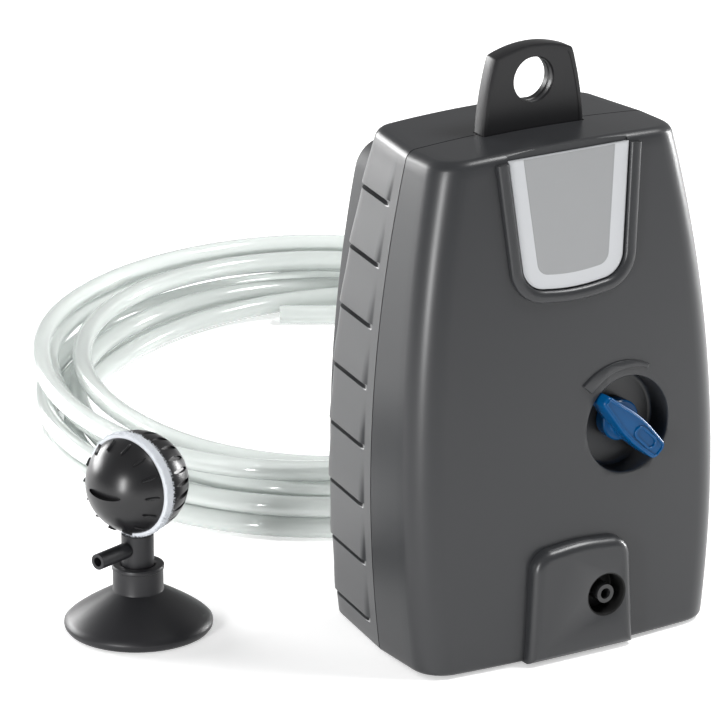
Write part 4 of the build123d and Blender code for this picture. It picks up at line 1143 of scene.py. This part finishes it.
def on_lever(u, v, rise):
    """Point on the front plane of the lever, along it, across it and out from it."""
    return (
        KNOB_X + u * cos(LEVER_ANGLE) - v * sin(LEVER_ANGLE),
        -LEVER_FRONT - rise,
        KNOB_Z + u * sin(LEVER_ANGLE) + v * cos(LEVER_ANGLE),
    )


def lever_outline(shrink):
    """Outline of the lever, drawn in all round, with its narrow tip first."""
    high = LEVER_REACH - shrink
    corners = [(-high, 1.5 - shrink, 1.4 - shrink), (-high, -1.5 + shrink, 1.4 - shrink)]
    corners += [(1.0, -3.8 + shrink, 40.0), (high, -2.7 + shrink, 1.9 - shrink)]
    corners += [(high, 2.7 - shrink, 1.9 - shrink), (1.0, 3.8 - shrink, 40.0)]
    return rounded_polygon(corners, 8)


lever_thick = LEVER_FRONT - LEVER_BACK
lever_layers = [(0.3, -lever_thick), (0.0, -lever_thick + 0.4), (0.0, -0.8), (0.1, -0.45)]
lever_layers += [(0.3, -0.2), (0.65, 0.0), (0.85, 0.0)]
control_knob = layered_piece(
    "control_knob_lever", lever_outline(0.0), lever_layers, on_lever, blue_knob, 40.0
)
hub_profile = [(0.0, 17.9), (5.2, 17.9), (5.6, 18.3), (5.6, 21.6), (5.2, 22.0), (3.9, 22.0)]
hub_profile += [(3.5, 22.3), (3.4, 23.5), (0.0, 23.6)]
knob_hub = turned_piece("knob_hub", hub_profile, (KNOB_X, 0.0, KNOB_Z), (0, -1, 0), blue_knob)
thumb_outline = rounded_polygon(
    [(0.9, -1.95, 1.9), (9.5, -1.95, 1.9), (9.5, 1.95, 1.9), (0.9, 1.95, 1.9)], 6
)
thumb_ring = rim_line("thumb_ring", thumb_outline, 0.75, -0.3, 0.5, on_lever, blue_knob)
lever_rim = rim_line("lever_rim", lever_outline(0.6), 0.5, -0.3, 0.38, on_lever, blue_knob)
combine(control_knob, [knob_hub, thumb_ring, lever_rim], "UNION")
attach(control_knob, "knob")
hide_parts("control_knob")

# ---------------------------------------------------------------- suction cup
# Soft black PVC cup that the ball diffuser stands on, moulded in one piece with its collar.
# The stem of the diffuser plugs into the collar and turns in it.

stem_low, stem_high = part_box("suction_cup")
DIFFUSER_X = (stem_low.x + stem_high.x) / 2 / MM
DIFFUSER_Y = (stem_low.y + stem_high.y) / 2 / MM
black_pvc = moulded_plastic("black_pvc", (0.013, 0.013, 0.015), 0.42, 900.0, 0.02, 0.4)
CUP_RADIUS = 20.3
COLLAR_RADIUS = 6.9
COLLAR_TOP = 18.6
CONE_FOOT, CONE_TOP = 2.9, 11.0
CONE_BULGE = 0.4
cone = []
for k in range(1, 14):
    share = k / 14
    radius = CUP_RADIUS - 0.4 + (COLLAR_RADIUS + 0.7 - (CUP_RADIUS - 0.4)) * share
    cone.append((radius, CONE_FOOT + (CONE_TOP - CONE_FOOT) * share + CONE_BULGE * sin(pi * share**0.75)))
cup_profile = [(0.0, 3.4), (4.0, 3.4), (10.0, 2.6), (17.6, 0.05), (18.9, 0.0), (19.6, 0.35), (20.15, 1.1)]
cup_profile += [(CUP_RADIUS, 1.9), (20.2, 2.5), *cone, (COLLAR_RADIUS + 0.15, 11.25), (COLLAR_RADIUS, 11.8)]
cup_profile += [(COLLAR_RADIUS, 17.2), (COLLAR_RADIUS + 0.25, 17.4), (COLLAR_RADIUS + 0.25, 18.3)]
cup_profile += [(COLLAR_RADIUS + 0.1, 18.5), (COLLAR_RADIUS - 0.3, COLLAR_TOP), (5.2, COLLAR_TOP)]
cup_profile += [(4.7, 18.3), (4.55, 17.8), (4.55, 16.6), (0.0, 16.6)]
suction_cup = turned_piece(
    "suction_cup_body", cup_profile, (DIFFUSER_X, DIFFUSER_Y, 0.0), (0, 0, 1), black_pvc, 120, 40.0
)
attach(suction_cup, "cup")
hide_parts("suction_cup")

# ---------------------------------------------------------------- ball rear half
# Rear half of the diffuser ball, moulded in glossy black ABS on the hollow stem.
# A ring of pointed slots is moulded into it behind the felt.

HEADING = radians(199.0)
FACING = Vector((cos(HEADING), sin(HEADING), 0.0))
UP = Vector((0.0, 0.0, 1.0))
BALL_SIDE = FACING.cross(UP)
BALL_Z = 42.0
BALL_RADIUS = 14.1
BALL_STEPS = 144
FELT_REAR = 0.7
FELT_FRONT = 3.7
SLOT_COUNT = 24
SLOT_TILT = radians(108.5)
ball_middle = Vector((DIFFUSER_X, DIFFUSER_Y, BALL_Z))
black_gloss = moulded_plastic("black_gloss", (0.009, 0.009, 0.01), 0.3, 700.0, 0.01, 0.45)


def ball_arc(radius, start, end, steps):
    """Profile of a ball between two distances along its axis."""
    first, last = acos(max(-1.0, start / radius)), acos(min(1.0, end / radius))
    angles = [first + (last - first) * k / steps for k in range(steps + 1)]
    return [(radius * sin(a), radius * cos(a)) for a in angles]


def oval(half_length, half_width, steps, narrowing=0.0):
    """Oval outline, whose ends grow more pointed as it is narrowed."""
    angles = [2 * pi * k / steps for k in range(steps)]
    return [(half_length * cos(a), half_width * sin(a) * abs(sin(a)) ** narrowing) for a in angles]


def ring_places(radius, count, tilt):
    """Places and turns of shapes in a ring on the ball, at a tilt from its front pole."""
    places = []
    for k in range(count):
        angle = 2 * pi * (k + 0.5) / count
        round_axis = UP * cos(angle) + BALL_SIDE * sin(angle)
        out = FACING * cos(tilt) + round_axis * sin(tilt)
        along = FACING * -sin(tilt) + round_axis * cos(tilt)
        turn = Matrix((along, out.cross(along), out)).transposed().to_euler("XYZ")
        places.append((tuple(ball_middle + out * radius), tuple(turn)))
    return places


def upright(u, v, rise):
    """Point of a shape that stands on the plane z = 0."""
    return (u, v, rise)


rear_profile = [(0.0, -BALL_RADIUS)] + ball_arc(BALL_RADIUS, -BALL_RADIUS + 0.02, FELT_REAR - 0.25, 40)
rear_profile += [(BALL_RADIUS - 0.35, FELT_REAR - 0.02), (0.0, FELT_REAR - 0.02)]
rear_half = turned_piece(
    "ball_rear_half", rear_profile, ball_middle, FACING, black_gloss, BALL_STEPS
)
slot_shape = layered_piece(
    "slot_shape", oval(4.0, 0.7, 24, 0.35), [(0.0, -1.0), (0.0, 3.0)], upright, None
)
slot_places = ring_places(BALL_RADIUS, SLOT_COUNT, SLOT_TILT)
slot_cutters = copies("slot_cutters", slot_shape, slot_places, black_gloss)
combine(rear_half, [slot_cutters], "DIFFERENCE")
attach(rear_half, "ball")
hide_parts("ball_rear_shell")

# ---------------------------------------------------------------- ball cap
# Front half of the ball in the same ABS, which clamps the felt and comes off with a quarter turn.
# A coin fits the slot in its middle, and short ribs round it give the fingers a grip.

CAP_RADIUS = BALL_RADIUS - 0.2
RIB_COUNT = 14
RIB_TILT = radians(60.0)
cap_back = FELT_FRONT + 0.05
cap_profile = [(0.0, cap_back), (sqrt(CAP_RADIUS**2 - 3.9**2) - 0.4, cap_back)]
cap_profile += ball_arc(CAP_RADIUS, 3.95, CAP_RADIUS - 0.02, 44) + [(0.0, CAP_RADIUS)]
front_cap = turned_piece("ball_cap", cap_profile, ball_middle, FACING, black_gloss, BALL_STEPS)


def on_cap(u, v, rise):
    """Point across and up the front of the cap, and out along its axis."""
    return tuple(ball_middle - BALL_SIDE * u + UP * v + FACING * rise)


coin_layers = [(0.0, CAP_RADIUS - 2.0), (0.0, CAP_RADIUS + 3.0)]
coin_slot = layered_piece("coin_slot", oval(5.7, 1.2, 36), coin_layers, on_cap, None)
combine(front_cap, [coin_slot], "DIFFERENCE")
rib_layers = [(0.0, -0.9), (0.0, 0.25), (0.08, 0.46), (0.2, 0.55)]
rib_shape = layered_piece("rib_shape", oval(2.1, 0.4, 16), rib_layers, upright, None)
cap_ribs = copies("cap_ribs", rib_shape, ring_places(CAP_RADIUS, RIB_COUNT, RIB_TILT), black_gloss)
combine(front_cap, [cap_ribs], "UNION")
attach(front_cap, "cap")
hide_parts("ball_front_cap")

# ---------------------------------------------------------------- felt ring
# White felt ring that breaks the air into fine bubbles, die-cut and clamped between the two halves.
# Short loose fibres stand out all round its rim.

FELT_RADIUS = BALL_RADIUS + 0.25
FIBRE_COUNT = 2600
white_felt, felt_shader = new_finish("white_felt", (0.62, 0.645, 0.68))
felt_shader.inputs["Roughness"].default_value = 0.95
felt_shader.inputs["Sheen Weight"].default_value = 0.4
felt_shader.inputs["Specular IOR Level"].default_value = 0.1
felt_half = [(0.0, 6.0), (0.0, FELT_RADIUS - 0.5), (0.35, FELT_RADIUS - 0.1), (1.0, FELT_RADIUS)]
felt_profile = [(radius, FELT_REAR + depth) for depth, radius in felt_half]
felt_profile += [(radius, FELT_FRONT - depth) for depth, radius in reversed(felt_half)]
felt_profile.append(felt_profile[0])
felt_ring = turned_piece("felt_band", felt_profile, ball_middle, FACING, white_felt, BALL_STEPS)
fibre_profile = [(0.0, -0.15), (0.07, 0.0), (0.05, 0.45), (0.0, 0.62)]
fibre = turned_piece("fibre", fibre_profile, (0, 0, 0), (0, 0, 1), white_felt, 3)
fibre_random = np.random.default_rng(11)
fibre_places = []
for _ in range(FIBRE_COUNT):
    around = fibre_random.uniform(0, 2 * pi)
    depth = fibre_random.uniform(FELT_REAR + 0.05, FELT_FRONT - 0.05)
    out = UP * cos(around) + BALL_SIDE * sin(around)
    edge = (depth - (FELT_REAR + FELT_FRONT) / 2) / ((FELT_FRONT - FELT_REAR) / 2)
    lean = out + FACING * (0.5 * edge) + Vector(fibre_random.uniform(-0.7, 0.7, 3))
    turn = tuple(lean.to_track_quat("Z", "Y").to_euler("XYZ"))
    fibre_places.append((tuple(ball_middle + FACING * depth + out * (FELT_RADIUS - 0.25)), turn))
felt_fuzz = copies("felt_fuzz", fibre, fibre_places, white_felt)
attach(felt_ring, "ball")
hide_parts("felt_ring")
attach(felt_fuzz, "ball")

# ---------------------------------------------------------------- stem, outlet nozzle, feet and screws
# Pieces whose plain turned shape is the real one: the moulded stem and nozzle, the rubber feet,
# the zinc-plated screws and the cable gland keep their own solids and get their finishes here.


def give_finish(finish, *names):
    """Puts one material on the solids of the named nodes."""
    for name in names:
        mesh = nodes[name].data
        mesh.materials.clear()
        mesh.materials.append(finish)


nozzle_black = moulded_plastic("nozzle_black", (0.016, 0.016, 0.017), 0.28, 900.0, 0.01)
soft_rubber = moulded_plastic("soft_rubber", (0.018, 0.018, 0.018), 0.7, 900.0, 0.03, 0.25)
give_finish(black_pvc, "diffuser_stem")
give_finish(nozzle_black, "outlet_nozzle", "valve_spindle", "cable_gland", "flow_valve_body")
give_finish(soft_rubber, "rubber_feet", "diaphragm_left", "diaphragm_right")


def plated_metal(name, colour, roughness, scale):
    """Bare or plated metal with a slightly mottled gloss."""
    material, shader = new_finish(name, colour)
    tree = material.node_tree
    place = tree.nodes.new("ShaderNodeTexCoord")
    mottle = tree.nodes.new("ShaderNodeTexNoise")
    mottle.inputs["Scale"].default_value = scale
    uneven = tree.nodes.new("ShaderNodeMapRange")
    uneven.inputs["To Min"].default_value = roughness - 0.07
    uneven.inputs["To Max"].default_value = roughness + 0.07
    tree.links.new(place.outputs["Object"], mottle.inputs["Vector"])
    tree.links.new(mottle.outputs["Fac"], uneven.inputs["Value"])
    tree.links.new(uneven.outputs["Result"], shader.inputs["Roughness"])
    shader.inputs["Metallic"].default_value = 1.0
    return material


zinc = plated_metal("zinc_plate", (0.62, 0.63, 0.62), 0.32, 300.0)
give_finish(zinc, "housing_screws", "chassis_screws", "arm_pivot_pins", "core_strap")

# ---------------------------------------------------------------- works inside the housing
# Laminated electromagnet with its wound bobbin, two swing arms with magnets, rubber diaphragms
# and air boxes on a moulded chassis, joined to the flow valve by a manifold and a silicone hose.

give_finish(plated_metal("core_steel", (0.33, 0.34, 0.36), 0.45, 400.0), "magnet_core")
give_finish(plated_metal("copper_winding", (0.72, 0.30, 0.14), 0.35, 900.0), "coil_winding")
give_finish(plated_metal("ferrite", (0.09, 0.09, 0.10), 0.5, 500.0), "arm_magnet_left", "arm_magnet_right")
natural_nylon = moulded_plastic("natural_nylon", (0.62, 0.60, 0.54), 0.45, 900.0, 0.02)
give_finish(natural_nylon, "coil_bobbin", "terminal_block", "swing_arm_left", "swing_arm_right")
works_grey = moulded_plastic("works_grey", (0.12, 0.12, 0.125), 0.5, 900.0, 0.02)
give_finish(works_grey, "chassis_plate", "air_box_left", "air_box_right", "air_manifold")
silicone = moulded_plastic("silicone", (0.72, 0.74, 0.74), 0.4, 600.0, 0.01)
give_finish(silicone, "inner_hose", "valve_flaps")
filter_foam = moulded_plastic("filter_foam", (0.50, 0.52, 0.50), 0.95, 1300.0, 0.6, 0.1)
give_finish(filter_foam, "filter_pad")
